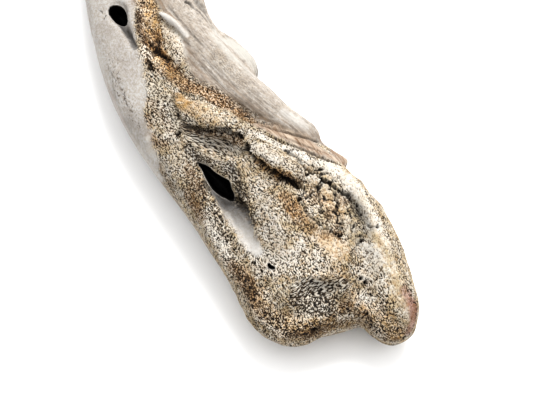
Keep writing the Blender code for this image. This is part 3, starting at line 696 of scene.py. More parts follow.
def readVertices(mesh, what, width=3):
    values = np.empty(len(mesh.vertices) * width)
    mesh.vertices.foreach_get(what, values)
    return values.reshape(-1, width)


def treeOf(skin):
    graph = bpy.context.evaluated_depsgraph_get()
    graph.update()
    return BVHTree.FromObject(skin, graph)


def onBone(tree, pixels):  # photo pixels, cast onto the bone from the camera
    eye = cameraPlace()
    hits = []
    for pixel in pixels:
        place, normal, _, _ = tree.ray_cast(eye, pixelRay(pixel[0], pixel[1]))
        if place is None:
            place, normal, _, _ = tree.find_nearest(pixelAtHeight(pixel[0], pixel[1], aimHeight))
        hits.append((np.array(place), np.array(normal)))
    return hits


def denser(hits, extras, step):  # more points along a cast path, with values that go with them
    places, normals, values = [], [], []
    for i in range(max(1, len(hits) - 1)):
        j = min(i + 1, len(hits) - 1)
        (p, n), (q, m) = hits[i], hits[j]
        count = max(1, int(np.linalg.norm(q - p) / step))
        for k in range(count):
            t = k / count
            places.append(p * (1 - t) + q * t)
            normals.append(n * (1 - t) + m * t)
            values.append(extras[i] * (1 - t) + extras[j] * t)
    places.append(hits[-1][0])
    normals.append(hits[-1][1])
    values.append(extras[-1])
    return np.array(places), np.array(normals), np.array(values)


def near(points, places, reach):  # indices of the points near the path
    low, high = places.min(axis=0) - reach, places.max(axis=0) + reach
    return np.nonzero(np.all((points > low) & (points < high), axis=1))[0]


def closest(points, places):  # distance to the path's nearest point, and which it is
    best = np.empty(len(points), int)
    away = np.empty(len(points))
    for start in range(0, len(points), 20000):
        part = points[start:start + 20000]
        gap = ((part[:, None, :] - places[None, :, :]) ** 2).sum(axis=2)
        best[start:start + 20000] = gap.argmin(axis=1)
        away[start:start + 20000] = np.sqrt(gap.min(axis=1))
    return away, best


def strokeMask(points, tree, strokes, breakUp):
    mask = np.zeros(len(points))
    for stroke in strokes:
        extras = np.array([(p[2] * pixelSize, p[3] if len(p) > 3 else 1.0) for p in stroke], float)
        places, _, values = denser(onBone(tree, stroke), extras, 0.0012)
        reach = values[:, 0].max() * 1.6
        index = near(points, places, reach)
        if not len(index):
            continue
        away, best = closest(points[index], places)
        share = away / values[best, 0] + (breakUp[index] - 0.5) * 0.9
        mask[index] = np.maximum(mask[index], values[best, 1] * (1 - ease(share, 0.45, 1.25)))
    return mask


def edgeAcross(tree, line):  # how far across the edge lies at each distance along
    hits = np.array([hit[0] for hit in onBone(tree, line["pixels"])])
    along, across = alongBone(hits, 1)
    order = np.argsort(along)
    keys = [row[0] for row in line["before"]] + list(along[order]) + [row[0] for row in line["after"]]
    values = [row[1] for row in line["before"]] + list(across[order]) + [row[1] for row in line["after"]]
    return np.array(keys), np.array(values)


def grainWalk(tree, line):
    places = [hit[0][:2] for hit in onBone(tree, line["pixels"])]
    s, x, y, phi = walkCentreLine()
    for along, across in line["after"]:
        i = int(np.searchsorted(s, along))
        places.append(np.array([x[i] + across * np.cos(phi[i]), y[i] - across * np.sin(phi[i])]))
    return walkThrough(places)


def carveRelief(points, tree):  # cracks, folds, ridges and pits, with their darkness: crack colour, and painted shade under overhangs and in pits
    moved = points.copy()
    dark = np.zeros(len(points))
    for name, stroke in reliefStrokes.items():
        shares = np.array([[pixel[2] if len(pixel) > 2 else 1.0] for pixel in stroke["pixels"]])
        places, normals, shares = denser(onBone(tree, stroke["pixels"]), shares, 0.0004)
        normals = np.stack([np.convolve(np.pad(n, 6, "edge"), np.ones(13) / 13, "valid") for n in normals.T], axis=1)
        if stroke["dark"] > 0.5:
            wander = latticeNoise(places, 0.0016, 3)[:, None] + 0.6 * latticeNoise(places, 0.0007, 12)[:, None] - 0.8
            sideways = np.cross(normals, np.gradient(places, axis=0))
            sideways /= np.linalg.norm(sideways, axis=1)[:, None] + 1e-12
            places = places + sideways * wander * 0.0016
        width = stroke["width"]
        index = near(points, places, width * 2.2)
        away, best = closest(points[index], places)
        ends = np.minimum(best, len(places) - 1 - best) / max(1, len(places) - 1)
        taper = ease(ends, -0.02, 0.14) * shares[best, 0]
        rough = 0.75 if stroke["dark"] > 0.5 else 0.15
        breadth = width * shares[best, 0] * (1 - rough + 2 * rough * latticeNoise(places[best], 0.0011, 5))
        profile = np.clip(1 - (away / breadth) ** 2, 0, 1) ** stroke["power"]
        moved[index] -= normals[best] * (profile * taper * stroke["depth"])[:, None]
        dark[index] = np.maximum(dark[index], stroke["dark"] * taper * ease(profile, 0.0, 0.8))
    for group in pits.values():
        for pixel, radius, depth in group:
            place, normal = onBone(tree, [pixel])[0]
            index = near(points, place[None, :], radius * 2.5)
            away = np.linalg.norm(points[index] - place, axis=1)
            edge = radius * (0.75 + 0.5 * latticeNoise(points[index], 0.0009, 8))
            profile = 1 - ease(away / edge, 0.45, 1.15)
            moved[index] -= normal * (profile * depth)[:, None]
            dark[index] = np.maximum(dark[index], profile)
    return moved, dark


def setAttribute(mesh, name, values):
    if values.ndim == 2:
        made = mesh.attributes.new(name, "FLOAT_VECTOR", "POINT")
        made.data.foreach_set("vector", values.astype(np.float32).ravel())
    else:
        made = mesh.attributes.new(name, "FLOAT", "POINT")
        made.data.foreach_set("value", values.astype(np.float32))


def dressSkin(skin):
    mesh = skin.data
    tree = treeOf(skin)
    points = readVertices(mesh, "co")
    normals = readVertices(mesh, "normal")
    along, across = alongBone(points)
    breakUp = latticeNoise(points, 0.0018, 1) * 0.5 + latticeNoise(points, 0.005, 2) * 0.5
    patchy = latticeNoise(points, 0.007, 9) * 0.5 + latticeNoise(points, 0.0028, 10) * 0.5 - 0.5
    upward = ease(normals[:, 2], -0.35, 0.15)

    keys, values = edgeAcross(tree, edgeLines["outerBand"])
    bandGap = np.interp(along, keys, values) - across + (breakUp - 0.5) * 0.004
    band = ease(bandGap, -0.0012, 0.0012)
    keys, values = edgeAcross(tree, edgeLines["plateRim"])
    rimAcross = across - np.interp(along, keys, values)
    plate = ease(rimAcross + (breakUp - 0.5) * 0.003, -0.0008, 0.0016)
    lowFlank = (1 - upward) * ease(along, 0.02, 0.10)
    farBone = ease(along, 0.42, 0.50) * (1 - ease(along, 0.640, 0.672))
    dense = np.maximum.reduce([band, plate, strokeMask(points, tree, denseStrokes, breakUp), lowFlank, farBone])
    # Stroke masks: the bone's stains and tones, with painted shade (shade), painted fill light (lift) and a painted
    # highlight on the plate tip (white).
    stainsAndPaintedLight = {name: strokeMask(points, tree, strokes, breakUp) * (0.4 + 0.6 * upward)
              for name, strokes in stainAndPaintedLightStrokes.items()}
    unseen = ease(along, 0.195, 0.230)
    furrow = (1 - dense) * unseen
    stainsAndPaintedLight["rust"] = np.maximum(stainsAndPaintedLight["rust"], furrow * 0.85)
    stainsAndPaintedLight["brown"] = np.maximum(stainsAndPaintedLight["brown"], furrow * ease(breakUp, 0.45, 0.75))
    stainsAndPaintedLight["lamina"] *= rimAcross < 0.016
    dense = np.maximum(dense, stainsAndPaintedLight["lamina"]) * (1 - 0.85 * stainsAndPaintedLight["dotted"])
    spongy = 1 - dense
    openness = (0.60 + 0.18 * stainsAndPaintedLight["lacy"] + 0.14 * stainsAndPaintedLight["brown"] - 0.16 * stainsAndPaintedLight["white"]
                - 0.28 * stainsAndPaintedLight["faint"]
                - 0.22 * stainsAndPaintedLight["cracked"] + 0.25 * patchy)
    moved, dark = carveRelief(points, tree)
    lumps = (latticeNoise(points, 0.0042, 6) - 0.5) * 0.0009
    bumpy = np.maximum(stainsAndPaintedLight["cracked"], 0.6 * stainsAndPaintedLight["rust"])
    lumps += (latticeNoise(points, 0.0032, 7) - 0.5) * 0.0012 * bumpy
    moved += normals * (lumps * (0.2 + 0.8 * spongy) * (points[:, 2] > 0.002))[:, None]
    low, high = np.array(cadBox[0]) + 0.00002, np.array(cadBox[1]) - 0.00002
    moved = np.clip(moved, low, high)
    mesh.vertices.foreach_set("co", moved.ravel())
    mesh.update()

    plateAlong, plateAcross = measureAlong(points, grainWalk(tree, grainLines["plateGrain"]))
    grain = np.stack([along * (1 - plate) + plateAlong * plate, across * (1 - plate) + plateAcross * plate,
                      points[:, 2]], axis=1)
    flow = np.stack([along * 0.60, across, points[:, 2]], axis=1)
    for name, line, stretch in (("recess", "recessGrain", 0.22), ("dishLines", "dishGrain", 0.35)):
        inside = np.nonzero(stainsAndPaintedLight[name] > 0.35)[0]
        lineAlong, lineAcross = measureAlong(points[inside], grainWalk(tree, grainLines[line]), 1)
        flow[inside] = np.stack([lineAlong * stretch + 1.0, lineAcross, points[inside, 2]], axis=1)
    setAttribute(mesh, "bonePlace", np.stack([along, across, points[:, 2]], axis=1))
    setAttribute(mesh, "grainPlace", grain)
    setAttribute(mesh, "flowPlace", flow)
    setAttribute(mesh, "spongy", spongy)
    setAttribute(mesh, "openness", np.clip(openness, 0.0, 1.1))
    setAttribute(mesh, "plate", plate)
    setAttribute(mesh, "rimNear", plate * (1 - ease(rimAcross, 0.001, 0.011)))
    setAttribute(mesh, "dark", dark)
    # No painted hole shade until the holes are cut.
    setAttribute(mesh, "hollow", np.zeros(len(points)))
    fine = 1 - ease(along, skinSettings["fineUpTo"] - 0.01, skinSettings["fineUpTo"])
    setAttribute(mesh, "fine", fine * ease(normals[:, 2], skinSettings["fineAbove"], skinSettings["fineAbove"] + 0.2))
    for name, mask in stainsAndPaintedLight.items():
        setAttribute(mesh, name, mask)


def newNode(tree, kind, **settings):
    made = tree.nodes.new(kind)
    for name, value in settings.items():
        setattr(made, name, value)
    return made


def feed(tree, socket, value):  # links a socket, or sets a plain value
    if isinstance(value, bpy.types.NodeSocket):
        tree.links.new(value, socket)
    elif value is not None:
        socket.default_value = value


def calc(tree, operation, *values, clamp=False):
    made = newNode(tree, "ShaderNodeMath", operation=operation, use_clamp=clamp)
    for socket, value in zip(made.inputs, values):
        feed(tree, socket, value)
    return made.outputs[0]


def vectorCalc(tree, operation, *values):
    made = newNode(tree, "ShaderNodeVectorMath", operation=operation)
    for socket, value in zip(made.inputs, values):
        feed(tree, socket, value)
    return made.outputs[0]


def softStep(tree, value, low, high, start=0.0, end=1.0):
    made = newNode(tree, "ShaderNodeMapRange", interpolation_type="SMOOTHSTEP")
    for socket, setting in zip(made.inputs, (value, low, high, start, end)):
        feed(tree, socket, setting)
    return made.outputs[0]


def mixColor(tree, mode, factor, first, second):
    made = newNode(tree, "ShaderNodeMix", data_type="RGBA", blend_type=mode)
    feed(tree, made.inputs["Factor"], factor)
    colors = [socket for socket in made.inputs if socket.type == "RGBA"]
    feed(tree, colors[0], first)
    feed(tree, colors[1], second)
    return [socket for socket in made.outputs if socket.type == "RGBA"][0]


def voronoi(tree, place, scale, feature, randomness=1.0):
    made = newNode(tree, "ShaderNodeTexVoronoi", voronoi_dimensions="3D", feature=feature)
    feed(tree, made.inputs["Vector"], place)
    feed(tree, made.inputs["Scale"], scale)
    feed(tree, made.inputs["Randomness"], randomness)
    return made


def noise(tree, place, scale, detail=2.0, roughness=0.5):
    made = newNode(tree, "ShaderNodeTexNoise", noise_dimensions="3D")
    feed(tree, made.inputs["Vector"], place)
    feed(tree, made.inputs["Scale"], scale)
    feed(tree, made.inputs["Detail"], detail)
    feed(tree, made.inputs["Roughness"], roughness)
    return made


# Open pores of the spongy bone: where a smooth noise falls below a level that rises with the openness.
# Pitches, wander and depth are in metres.
poreSettings = {"pitch": 0.00053, "lacyPitch": 0.00078, "wander": 0.0009, "sparse": 0.38, "crowded": 0.54,
                "soft": 0.042, "deep": 0.07, "rim": 0.16, "plainLevel": 0.37, "lacyLevel": 0.50,
                "depth": 0.00030}


def poreField(tree, place, openness, lacy):  # used by the relief and by the material, so that both agree
    shift = noise(tree, place, 1 / 0.0022, 1.0).outputs["Color"]
    shift = vectorCalc(tree, "SUBTRACT", shift, (0.5, 0.5, 0.5))
    warped = vectorCalc(tree, "ADD", place, vectorCalc(tree, "MULTIPLY", shift, (poreSettings["wander"],) * 3))
    level = softStep(tree, openness, 0.0, 1.0, poreSettings["sparse"], poreSettings["crowded"])
    body = noise(tree, warped, 1 / poreSettings["pitch"], 1.0).outputs[0]
    below = calc(tree, "SUBTRACT", level, body)
    wide = noise(tree, warped, 1 / poreSettings["lacyPitch"], 1.0).outputs[0]
    wideLevel = softStep(tree, lacy, 0.1, 0.7, poreSettings["plainLevel"], poreSettings["lacyLevel"])
    wideLevel = calc(tree, "ADD", wideLevel, softStep(tree, openness, 0.2, 0.6, -0.15, 0.0))
    wideBelow = calc(tree, "SUBTRACT", wideLevel, wide)
    below = calc(tree, "MAXIMUM", below, wideBelow)
    soft = poreSettings["soft"]
    return (softStep(tree, below, -soft, soft), softStep(tree, below, 0.0, poreSettings["deep"]),
            softStep(tree, below, -poreSettings["rim"], 0.0))


# Cracks between plates of the drying bone, in metres: their pitch, width and depth.
crackSettings = {"pitch": 0.0052, "width": 0.00034, "depth": 0.0007}


def crackField(tree, place, share):
    shift = noise(tree, place, 1 / 0.0016, 3.0, 0.7).outputs["Color"]
    shift = vectorCalc(tree, "SUBTRACT", shift, (0.5, 0.5, 0.5))
    warped = vectorCalc(tree, "ADD", place, vectorCalc(tree, "MULTIPLY", shift, (0.0030,) * 3))
    edge = voronoi(tree, warped, 1 / crackSettings["pitch"], "DISTANCE_TO_EDGE").outputs["Distance"]
    breadth = noise(tree, place, 1 / 0.0032, 2.0).outputs[0]
    breadth = calc(tree, "MULTIPLY", softStep(tree, breadth, 0.38, 0.62, 0.1, 2.0),
                   crackSettings["width"] / crackSettings["pitch"])
    inside = calc(tree, "SUBTRACT", 1.0, softStep(tree, calc(tree, "DIVIDE", edge, breadth), 0.4, 1.2))
    return calc(tree, "MULTIPLY", inside, softStep(tree, share, 0.25, 0.8))


def newGroup(kind, name, inputs, outputs):
    tree = bpy.data.node_groups.new(name, kind)
    for socketName, socketKind, value in inputs:
        made = tree.interface.new_socket(socketName, in_out="INPUT", socket_type=socketKind)
        if value is not None:
            made.default_value = value
    for socketName, socketKind in outputs:
        tree.interface.new_socket(socketName, in_out="OUTPUT", socket_type=socketKind)
    return tree, tree.nodes.new("NodeGroupInput"), tree.nodes.new("NodeGroupOutput")


def named(tree, name, kind="FLOAT"):
    made = newNode(tree, "GeometryNodeInputNamedAttribute", data_type=kind)
    made.inputs["Name"].default_value = name
    return made.outputs["Attribute"]


def openThePores(skin):  # real relief for the pores, by the same field as the material's
    tree, start, end = newGroup("GeometryNodeTree", "porousRelief", [("Geometry", "NodeSocketGeometry", None)],
                                [("Geometry", "NodeSocketGeometry")])
    pit, _, _ = poreField(tree, named(tree, "flowPlace", "FLOAT_VECTOR"), named(tree, "openness"), named(tree, "lacy"))
    depth = calc(tree, "MULTIPLY", calc(tree, "MULTIPLY", pit, named(tree, "spongy")), named(tree, "fine"))
    depth = calc(tree, "MULTIPLY", depth, calc(tree, "ADD", calc(tree, "MULTIPLY", named(tree, "lacy"), 0.9), 1.0))
    cracks = crackField(tree, named(tree, "bonePlace", "FLOAT_VECTOR"), named(tree, "cracked"))
    depth = calc(tree, "ADD", depth, calc(tree, "MULTIPLY", cracks, crackSettings["depth"] / poreSettings["depth"]))
    grooves = noise(tree, vectorCalc(tree, "MULTIPLY", named(tree, "grainPlace", "FLOAT_VECTOR"), (0.07, 1.0, 0.0)),
                    1 / 0.0013, 3.0).outputs[0]
    grooves = calc(tree, "MULTIPLY", calc(tree, "SUBTRACT", grooves, 0.5), named(tree, "plate"))
    total = calc(tree, "ADD", calc(tree, "MULTIPLY", depth, -poreSettings["depth"]),
                 calc(tree, "MULTIPLY", grooves, 0.0008))
    normal = tree.nodes.new("GeometryNodeInputNormal").outputs[0]
    offset = newNode(tree, "ShaderNodeVectorMath", operation="SCALE")
    feed(tree, offset.inputs[0], normal)
    feed(tree, offset.inputs["Scale"], total)
    mover = tree.nodes.new("GeometryNodeSetPosition")
    feed(tree, mover.inputs["Geometry"], start.outputs[0])
    feed(tree, mover.inputs["Offset"], offset.outputs[0])
    feed(tree, end.inputs[0], mover.outputs[0])
    relief = skin.modifiers.new("porousRelief", "NODES")
    relief.node_group = tree
    keepEvaluated(skin)


def openPoresGroup():
    tree, start, end = newGroup("ShaderNodeTree", "openPores", [
        ("Place", "NodeSocketVector", None), ("Openness", "NodeSocketFloat", 0.5), ("Lacy", "NodeSocketFloat", 0.0)],
        [("Pit", "NodeSocketFloat"), ("Deep", "NodeSocketFloat"), ("Rim", "NodeSocketFloat")])
    field = poreField(tree, start.outputs["Place"], start.outputs["Openness"], start.outputs["Lacy"])
    for socket, value in zip(end.inputs, field):
        feed(tree, socket, value)
    return tree


def cracksGroup():
    tree, start, end = newGroup("ShaderNodeTree", "dryingCracks", [
        ("Place", "NodeSocketVector", None), ("Share", "NodeSocketFloat", 0.0)], [("Mask", "NodeSocketFloat")])
    feed(tree, end.inputs["Mask"], crackField(tree, start.outputs["Place"], start.outputs["Share"]))
    return tree


def cloudGroup():  # soft uneven patches, for stains, bleaching and dust
    tree, start, end = newGroup("ShaderNodeTree", "unevenCloud", [
        ("Place", "NodeSocketVector", None), ("Size", "NodeSocketFloat", 0.01), ("Low", "NodeSocketFloat", 0.4),
        ("High", "NodeSocketFloat", 0.6)], [("Mask", "NodeSocketFloat")])
    scale = calc(tree, "DIVIDE", 1.0, start.outputs["Size"])
    cloud = noise(tree, start.outputs["Place"], scale, 4.0, 0.6).outputs[0]
    feed(tree, end.inputs["Mask"], softStep(tree, cloud, start.outputs["Low"], start.outputs["High"]))
    return tree


def fibreGroup():  # fine lines along the bone's grain
    tree, start, end = newGroup("ShaderNodeTree", "boneFibre", [
        ("Place", "NodeSocketVector", None), ("Spacing", "NodeSocketFloat", 0.001),
        ("Stretch", "NodeSocketFloat", 0.045)], [("Lines", "NodeSocketFloat")])
    stretch = newNode(tree, "ShaderNodeCombineXYZ")
    feed(tree, stretch.inputs[0], start.outputs["Stretch"])
    stretch.inputs[1].default_value = 1.0
    stretch.inputs[2].default_value = 0.35
    along = vectorCalc(tree, "MULTIPLY", start.outputs["Place"], stretch.outputs[0])
    lines = noise(tree, along, calc(tree, "DIVIDE", 1.0, start.outputs["Spacing"]), 3.0, 0.65).outputs[0]
    feed(tree, end.inputs["Lines"], softStep(tree, lines, 0.36, 0.64))
    return tree


def useGroup(tree, group, **values):
    made = newNode(tree, "ShaderNodeGroup", node_tree=group)
    for name, value in values.items():
        feed(tree, made.inputs[name], value)
    return made


albedo = 0.62  # share of the light that a white of the photograph gives back under this studio's light


def tint(r, g, b, share=albedo):
    linear = (((c / 255 + 0.055) / 1.055) ** 2.4 if c > 10 else c / 255 / 12.92 for c in (r, g, b))
    return tuple(c * share for c in linear) + (1.0,)


# Colours of the bone, with painted light among them: the shade colour paints shade, the lift colour paints fill light,
# the hole and deep-pit colours paint near-black shade in holes and pores, and the crack colour also paints shade under
# overhangs and in pits.
boneColors = {
    "dense": tint(216, 213, 209), "denseShade": tint(192, 187, 182), "plate": tint(219, 212, 203),
    "plateShade": tint(192, 183, 173), "plateLine": tint(122, 112, 101), "strut": tint(247, 241, 228),
    "strutTan": tint(220, 202, 168),
    "pit": tint(112, 90, 64), "pitBrown": tint(124, 86, 46), "deepPitShade": tint(13, 9, 6), "rust": tint(236, 204, 152, 1.0),
    "brown": tint(182, 150, 112, 1.0), "grey": tint(194, 194, 192, 1.0), "white": tint(248, 244, 237),
    "cream": tint(206, 203, 194), "lift": tint(252, 246, 234, 0.97), "pink": tint(184, 131, 121, 1.0), "lamina": tint(211, 190, 167),
    "laminaLine": tint(138, 108, 82), "crackAndShade": tint(22, 14, 8), "hollow": tint(8, 6, 5),
    "dirt": tint(196, 176, 146, 1.0), "fleck": tint(120, 104, 88, 1.0), "shade": tint(140, 140, 141, 1.0),
}


def boneMaterial(groups):
    made = bpy.data.materials.new("weatheredRib")
    made.use_nodes = True
    tree = made.node_tree
    shader = tree.nodes["Principled BSDF"]

    def mask(name, share=1.0):
        value = newNode(tree, "ShaderNodeAttribute", attribute_type="GEOMETRY", attribute_name=name).outputs["Fac"]
        return value if share == 1.0 else calc(tree, "MULTIPLY", value, share)

    def place(name):
        return newNode(tree, "ShaderNodeAttribute", attribute_type="GEOMETRY", attribute_name=name).outputs["Vector"]

    def cloud(size, low, high, share=1.0):
        value = useGroup(tree, groups["cloud"], Place=place("bonePlace"), Size=size, Low=low, High=high).outputs[0]
        return value if share == 1.0 else calc(tree, "MULTIPLY", value, share)

    def fibre(spacing, share=1.0, stretch=0.045):
        value = useGroup(tree, groups["fibre"], Place=place("grainPlace"), Spacing=spacing, Stretch=stretch).outputs[0]
        return value if share == 1.0 else calc(tree, "MULTIPLY", value, share)

    c = boneColors
    pores = useGroup(tree, groups["pores"], Place=place("flowPlace"), Openness=mask("openness"), Lacy=mask("lacy"))
    pit, deep = pores.outputs["Pit"], pores.outputs["Deep"]
    spongy = mask("spongy")

    dense = mixColor(tree, "MIX", cloud(0.010, 0.35, 0.65), c["dense"], c["denseShade"])
    dense = mixColor(tree, "MULTIPLY", cloud(0.0016, 0.42, 0.62, 0.30), dense, c["dirt"])
    dense = mixColor(tree, "MULTIPLY", cloud(0.0007, 0.42, 0.60, 0.45), dense, c["dirt"])
    flecks = calc(tree, "MULTIPLY", cloud(0.0012, 0.55, 0.62), calc(tree, "ADD", mask("speckle", 0.8), 0.05))
    dense = mixColor(tree, "MULTIPLY", flecks, dense, c["fleck"])
    plate = mixColor(tree, "MIX", cloud(0.0040, 0.36, 0.64), c["plate"], c["plateShade"])
    plate = mixColor(tree, "MULTIPLY", fibre(0.0010, 0.35, 0.30), plate, c["dirt"])
    plate = mixColor(tree, "MULTIPLY", fibre(0.0024, 0.15), plate, c["dirt"])
    lines = calc(tree, "MULTIPLY", mask("striated", 0.95), calc(tree, "POWER", fibre(0.0012), 1.8))
    plate = mixColor(tree, "MIX", lines, plate, c["plateLine"])
    paleLines = calc(tree, "POWER", fibre(0.0009, 1.0, 0.08), 2.5)
    paleLines = calc(tree, "MULTIPLY", calc(tree, "ADD", mask("striated", 0.35), 0.15), paleLines)
    plate = mixColor(tree, "MIX", paleLines, plate, c["white"])
    plate = mixColor(tree, "MULTIPLY", calc(tree, "MULTIPLY", mask("rimNear", 0.7), fibre(0.0020)), plate, c["brown"])
    plate = mixColor(tree, "MULTIPLY", cloud(0.0008, 0.40, 0.62, 0.35), plate, c["dirt"])
    hatch = calc(tree, "MULTIPLY", calc(tree, "POWER", fibre(0.00065, 0.85, 0.26), 2.0), cloud(0.0035, 0.32, 0.58))
    plate = mixColor(tree, "MIX", hatch, plate, c["plateLine"])
    dense = mixColor(tree, "MIX", mask("plate"), dense, plate)

    strut = mixColor(tree, "MIX", cloud(0.0055, 0.36, 0.64), c["strut"], c["strutTan"])
    strut = mixColor(tree, "MIX", mask("white", 0.80), strut, c["white"])
    # Painted fill light: the lift strokes brighten the struts.
    strut = mixColor(tree, "MIX", mask("lift"), strut, c["lift"])
    clean = calc(tree, "SUBTRACT", 1.0, calc(tree, "MAXIMUM", mask("white", 0.6), mask("grey", 0.6)))
    strut = mixColor(tree, "MULTIPLY", calc(tree, "MULTIPLY", cloud(0.00075, 0.36, 0.64, 0.55), clean), strut, c["dirt"])
    strut = mixColor(tree, "MULTIPLY", calc(tree, "MULTIPLY", cloud(0.0019, 0.46, 0.62, 0.35), clean), strut, c["brown"])
    strut = mixColor(tree, "MULTIPLY", calc(tree, "MULTIPLY", cloud(0.0014, 0.54, 0.64, 0.50), clean), strut, c["rust"])
    stained = calc(tree, "ADD", cloud(0.0022, 0.36, 0.62, 0.60), 0.40)
    strut = mixColor(tree, "MULTIPLY", calc(tree, "MULTIPLY", mask("rust"), stained), strut, c["rust"])
    strut = mixColor(tree, "MULTIPLY", calc(tree, "MULTIPLY", mask("grey"), stained), strut, c["grey"])
    aroundPit = calc(tree, "ADD", calc(tree, "MULTIPLY", pores.outputs["Rim"], 0.75), 0.25)
    strut = mixColor(tree, "MULTIPLY", calc(tree, "MULTIPLY", mask("brown"), aroundPit), strut, c["brown"])
    warm = calc(tree, "MAXIMUM", mask("rust", 0.8), mask("brown", 0.8))
    plain = calc(tree, "SUBTRACT", 1.0, calc(tree, "MAXIMUM", mask("faint", 0.62), mask("cracked", 0.40)))
    sponge = mixColor(tree, "MIX", calc(tree, "MULTIPLY", pit, plain), strut,
                      mixColor(tree, "MIX", warm, c["pit"], c["pitBrown"]))
    shallow = calc(tree, "ADD", cloud(0.0010, 0.38, 0.54, 0.40), 0.60)
    shallow = calc(tree, "MAXIMUM", shallow, mask("lacy"))
    # Painted shade: near-black in the depths of the open pores, over the brown pit colour.
    sponge = mixColor(tree, "MIX", calc(tree, "MULTIPLY", calc(tree, "MULTIPLY", deep, plain), shallow), sponge,
                      c["deepPitShade"])

    # The bone's pale colour, with a painted highlight on the plate tip.
    dense = mixColor(tree, "MIX", mask("white", 0.55), dense, c["white"])
    dense = mixColor(tree, "MULTIPLY", mask("rust", 0.45), dense, c["rust"])
    dense = mixColor(tree, "MULTIPLY", mask("brown", 0.45), dense, c["brown"])
    dense = mixColor(tree, "MULTIPLY", mask("grey", 0.60), dense, c["grey"])
    color = mixColor(tree, "MIX", spongy, dense, sponge)
    # Painted shade from the shade strokes; along the top right edge it is a grey-brown band of the bone's own colour.
    color = mixColor(tree, "MULTIPLY", mask("shade"), color, c["shade"])
    color = mixColor(tree, "MULTIPLY", mask("pink", 0.8), color, c["pink"])
    color = mixColor(tree, "MIX", mask("cream", 0.9), color, c["cream"])
    color = mixColor(tree, "MIX", mask("lamina"), color, mixColor(tree, "MIX", fibre(0.0013), c["lamina"],
                                                                   c["laminaLine"]))
    cracks = useGroup(tree, groups["cracks"], Place=place("bonePlace"), Share=mask("cracked")).outputs[0]
    color = mixColor(tree, "MIX", cracks, color, c["crackAndShade"])
    # Crack colour in cracks and crevices, and painted shade under the brow, beside the sliver, in the trough wedge, the
    # groove and the pits.
    color = mixColor(tree, "MIX", mask("dark"), color, c["crackAndShade"])
    # Painted shade: near-black inside the deep holes.
    color = mixColor(tree, "MIX", mask("hollow"), color, c["hollow"])
    feed(tree, shader.inputs["Base Color"], color)
    feed(tree, shader.inputs["Roughness"], softStep(tree, spongy, 0.0, 1.0, 0.62, 0.92))
    shader.inputs["Specular IOR Level"].default_value = 0.2
    height = calc(tree, "SUBTRACT", fibre(0.0011, -0.15), calc(tree, "MULTIPLY", pit, spongy))
    bump = newNode(tree, "ShaderNodeBump")
    bump.inputs["Strength"].default_value = 0.5
    bump.inputs["Distance"].default_value = 0.0004
    feed(tree, bump.inputs["Height"], height)
    feed(tree, shader.inputs["Normal"], bump.outputs["Normal"])
    return made


def unwrapAlong(skin):  # flat strips along the bone, for the baked colours
    columns = ((-0.1, 0.215), (0.215, 0.450), (0.450, 0.80))
    mesh = skin.data
    points = readVertices(mesh, "co")
    along, across = alongBone(points)
    heights = np.interp(along, *zip(*centreLine["middleHeights"]))
    widths = np.interp(along, *zip(*centreLine["halfWidths"]))
    angle = np.arctan2((points[:, 2] - heights) / 0.018, across / widths)
    turn = (angle / (2 * math.pi) + 0.25) % 1.0
    corners = np.empty(len(mesh.loops), int)
    mesh.loops.foreach_get("vertex_index", corners)
    starts = np.empty(len(mesh.polygons), int)
    mesh.polygons.foreach_get("loop_start", starts)
    counts = np.empty(len(mesh.polygons), int)
    mesh.polygons.foreach_get("loop_total", counts)
    faceOf = np.repeat(np.arange(len(starts)), counts)
    u, v = turn[corners], along[corners]
    top = np.maximum.reduceat(u, starts)
    bottom = np.minimum.reduceat(u, starts)
    wraps = (top - bottom > 0.5)[faceOf]
    u = np.where(wraps & (u < 0.5), u + 1.0, u)
    middle = np.add.reduceat(v, starts) / counts
    column = np.searchsorted([c[1] for c in columns[:-1]], middle)[faceOf]
    lowest = np.array([max(along.min(), c[0]) for c in columns]) - 0.002
    highest = np.array([min(along.max(), c[1]) for c in columns]) + 0.002
    share = (v - lowest[column]) / (highest - lowest)[column]
    uv = np.stack([(column + 0.01 + u * 0.93) / 3, np.clip(0.005 + share * 0.99, 0.001, 0.999)], axis=1)
    made = mesh.uv_layers.new(name="OFBake")
    made.data.foreach_set("uv", uv.astype(np.float32).ravel())


studioSettings = {  # the sky brightens from its dim side towards its bright side
    "dimSky": 0.70, "brightSky": 2.10, "brightSide": (0.45, 0.62, 0.64), "floor": 0.94,
    "lamps": {"softKey": {"place": (0.18, 0.60, 1.02), "size": 0.60, "power": 13.0}},
}


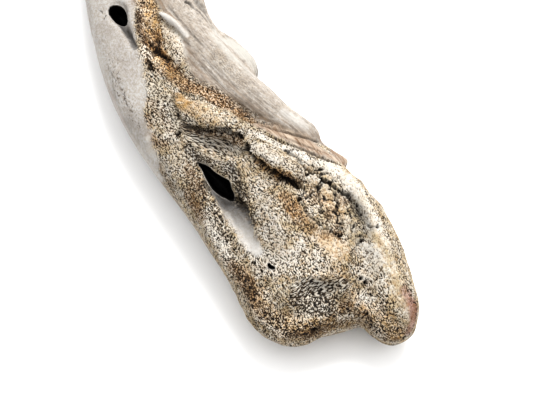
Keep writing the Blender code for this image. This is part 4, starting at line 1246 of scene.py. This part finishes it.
def studio():
    floorMesh = bpy.data.meshes.new("studioFloor")
    bm = bmesh.new()
    bmesh.ops.create_grid(bm, x_segments=1, y_segments=1, size=6.0)
    bm.to_mesh(floorMesh)
    bm.free()
    floor = bpy.data.objects.new("studioFloor", floorMesh)
    bpy.context.scene.collection.objects.link(floor)
    floor.location.z = -0.0002
    made = bpy.data.materials.new("paleFloor")
    made.use_nodes = True
    shader = made.node_tree.nodes["Principled BSDF"]
    shader.inputs["Base Color"].default_value = (studioSettings["floor"],) * 3 + (1,)
    shader.inputs["Roughness"].default_value = 0.9
    shader.inputs["Specular IOR Level"].default_value = 0.0
    floorMesh.materials.append(made)
    world = bpy.data.worlds.new("studioSky")
    bpy.context.scene.world = world
    world.use_nodes = True
    tree = world.node_tree
    tree.nodes["Background"].inputs["Color"].default_value = (1, 1, 1, 1)
    towards = vectorCalc(tree, "NORMALIZE", tree.nodes.new("ShaderNodeTexCoord").outputs["Generated"])
    facing = newNode(tree, "ShaderNodeVectorMath", operation="DOT_PRODUCT")
    feed(tree, facing.inputs[0], towards)
    feed(tree, facing.inputs[1], tuple(Vector(studioSettings["brightSide"]).normalized()))
    feed(tree, tree.nodes["Background"].inputs["Strength"],
         softStep(tree, facing.outputs["Value"], -0.3, 1.0, studioSettings["dimSky"], studioSettings["brightSky"]))
    for name, lamp in studioSettings["lamps"].items():
        data = bpy.data.lights.new(name, "AREA")
        data.shape = "DISK"
        data.size = lamp["size"]
        data.energy = lamp["power"]
        light = bpy.data.objects.new(name, data)
        bpy.context.scene.collection.objects.link(light)
        light.location = aimPoint + Vector(lamp["place"])
        light.rotation_euler = (-Vector(lamp["place"])).to_track_quat("-Z", "Y").to_euler()


print("camera and frame")
bpy.context.scene.view_settings.view_transform = "Standard"
setCamera()

print("skin from the frame")
skin = smoothedFrame()
carveAgain(skin)
refine(skin)
print("skin faces", len(skin.data.polygons))

print("relief and stains")
dressSkin(skin)

print("holes and pores")
cutDeepHoles(skin, treeOf(skin))
openThePores(skin)
unwrapAlong(skin)

print("materials")
groups = {"pores": openPoresGroup(), "cracks": cracksGroup(), "cloud": cloudGroup(), "fibre": fibreGroup()}
skin.data.materials.clear()
skin.data.materials.append(boneMaterial(groups))
skin.data.polygons.foreach_set("use_smooth", [True] * len(skin.data.polygons))

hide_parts("rib_bone")
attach(skin, "root")

print("studio")
studio()
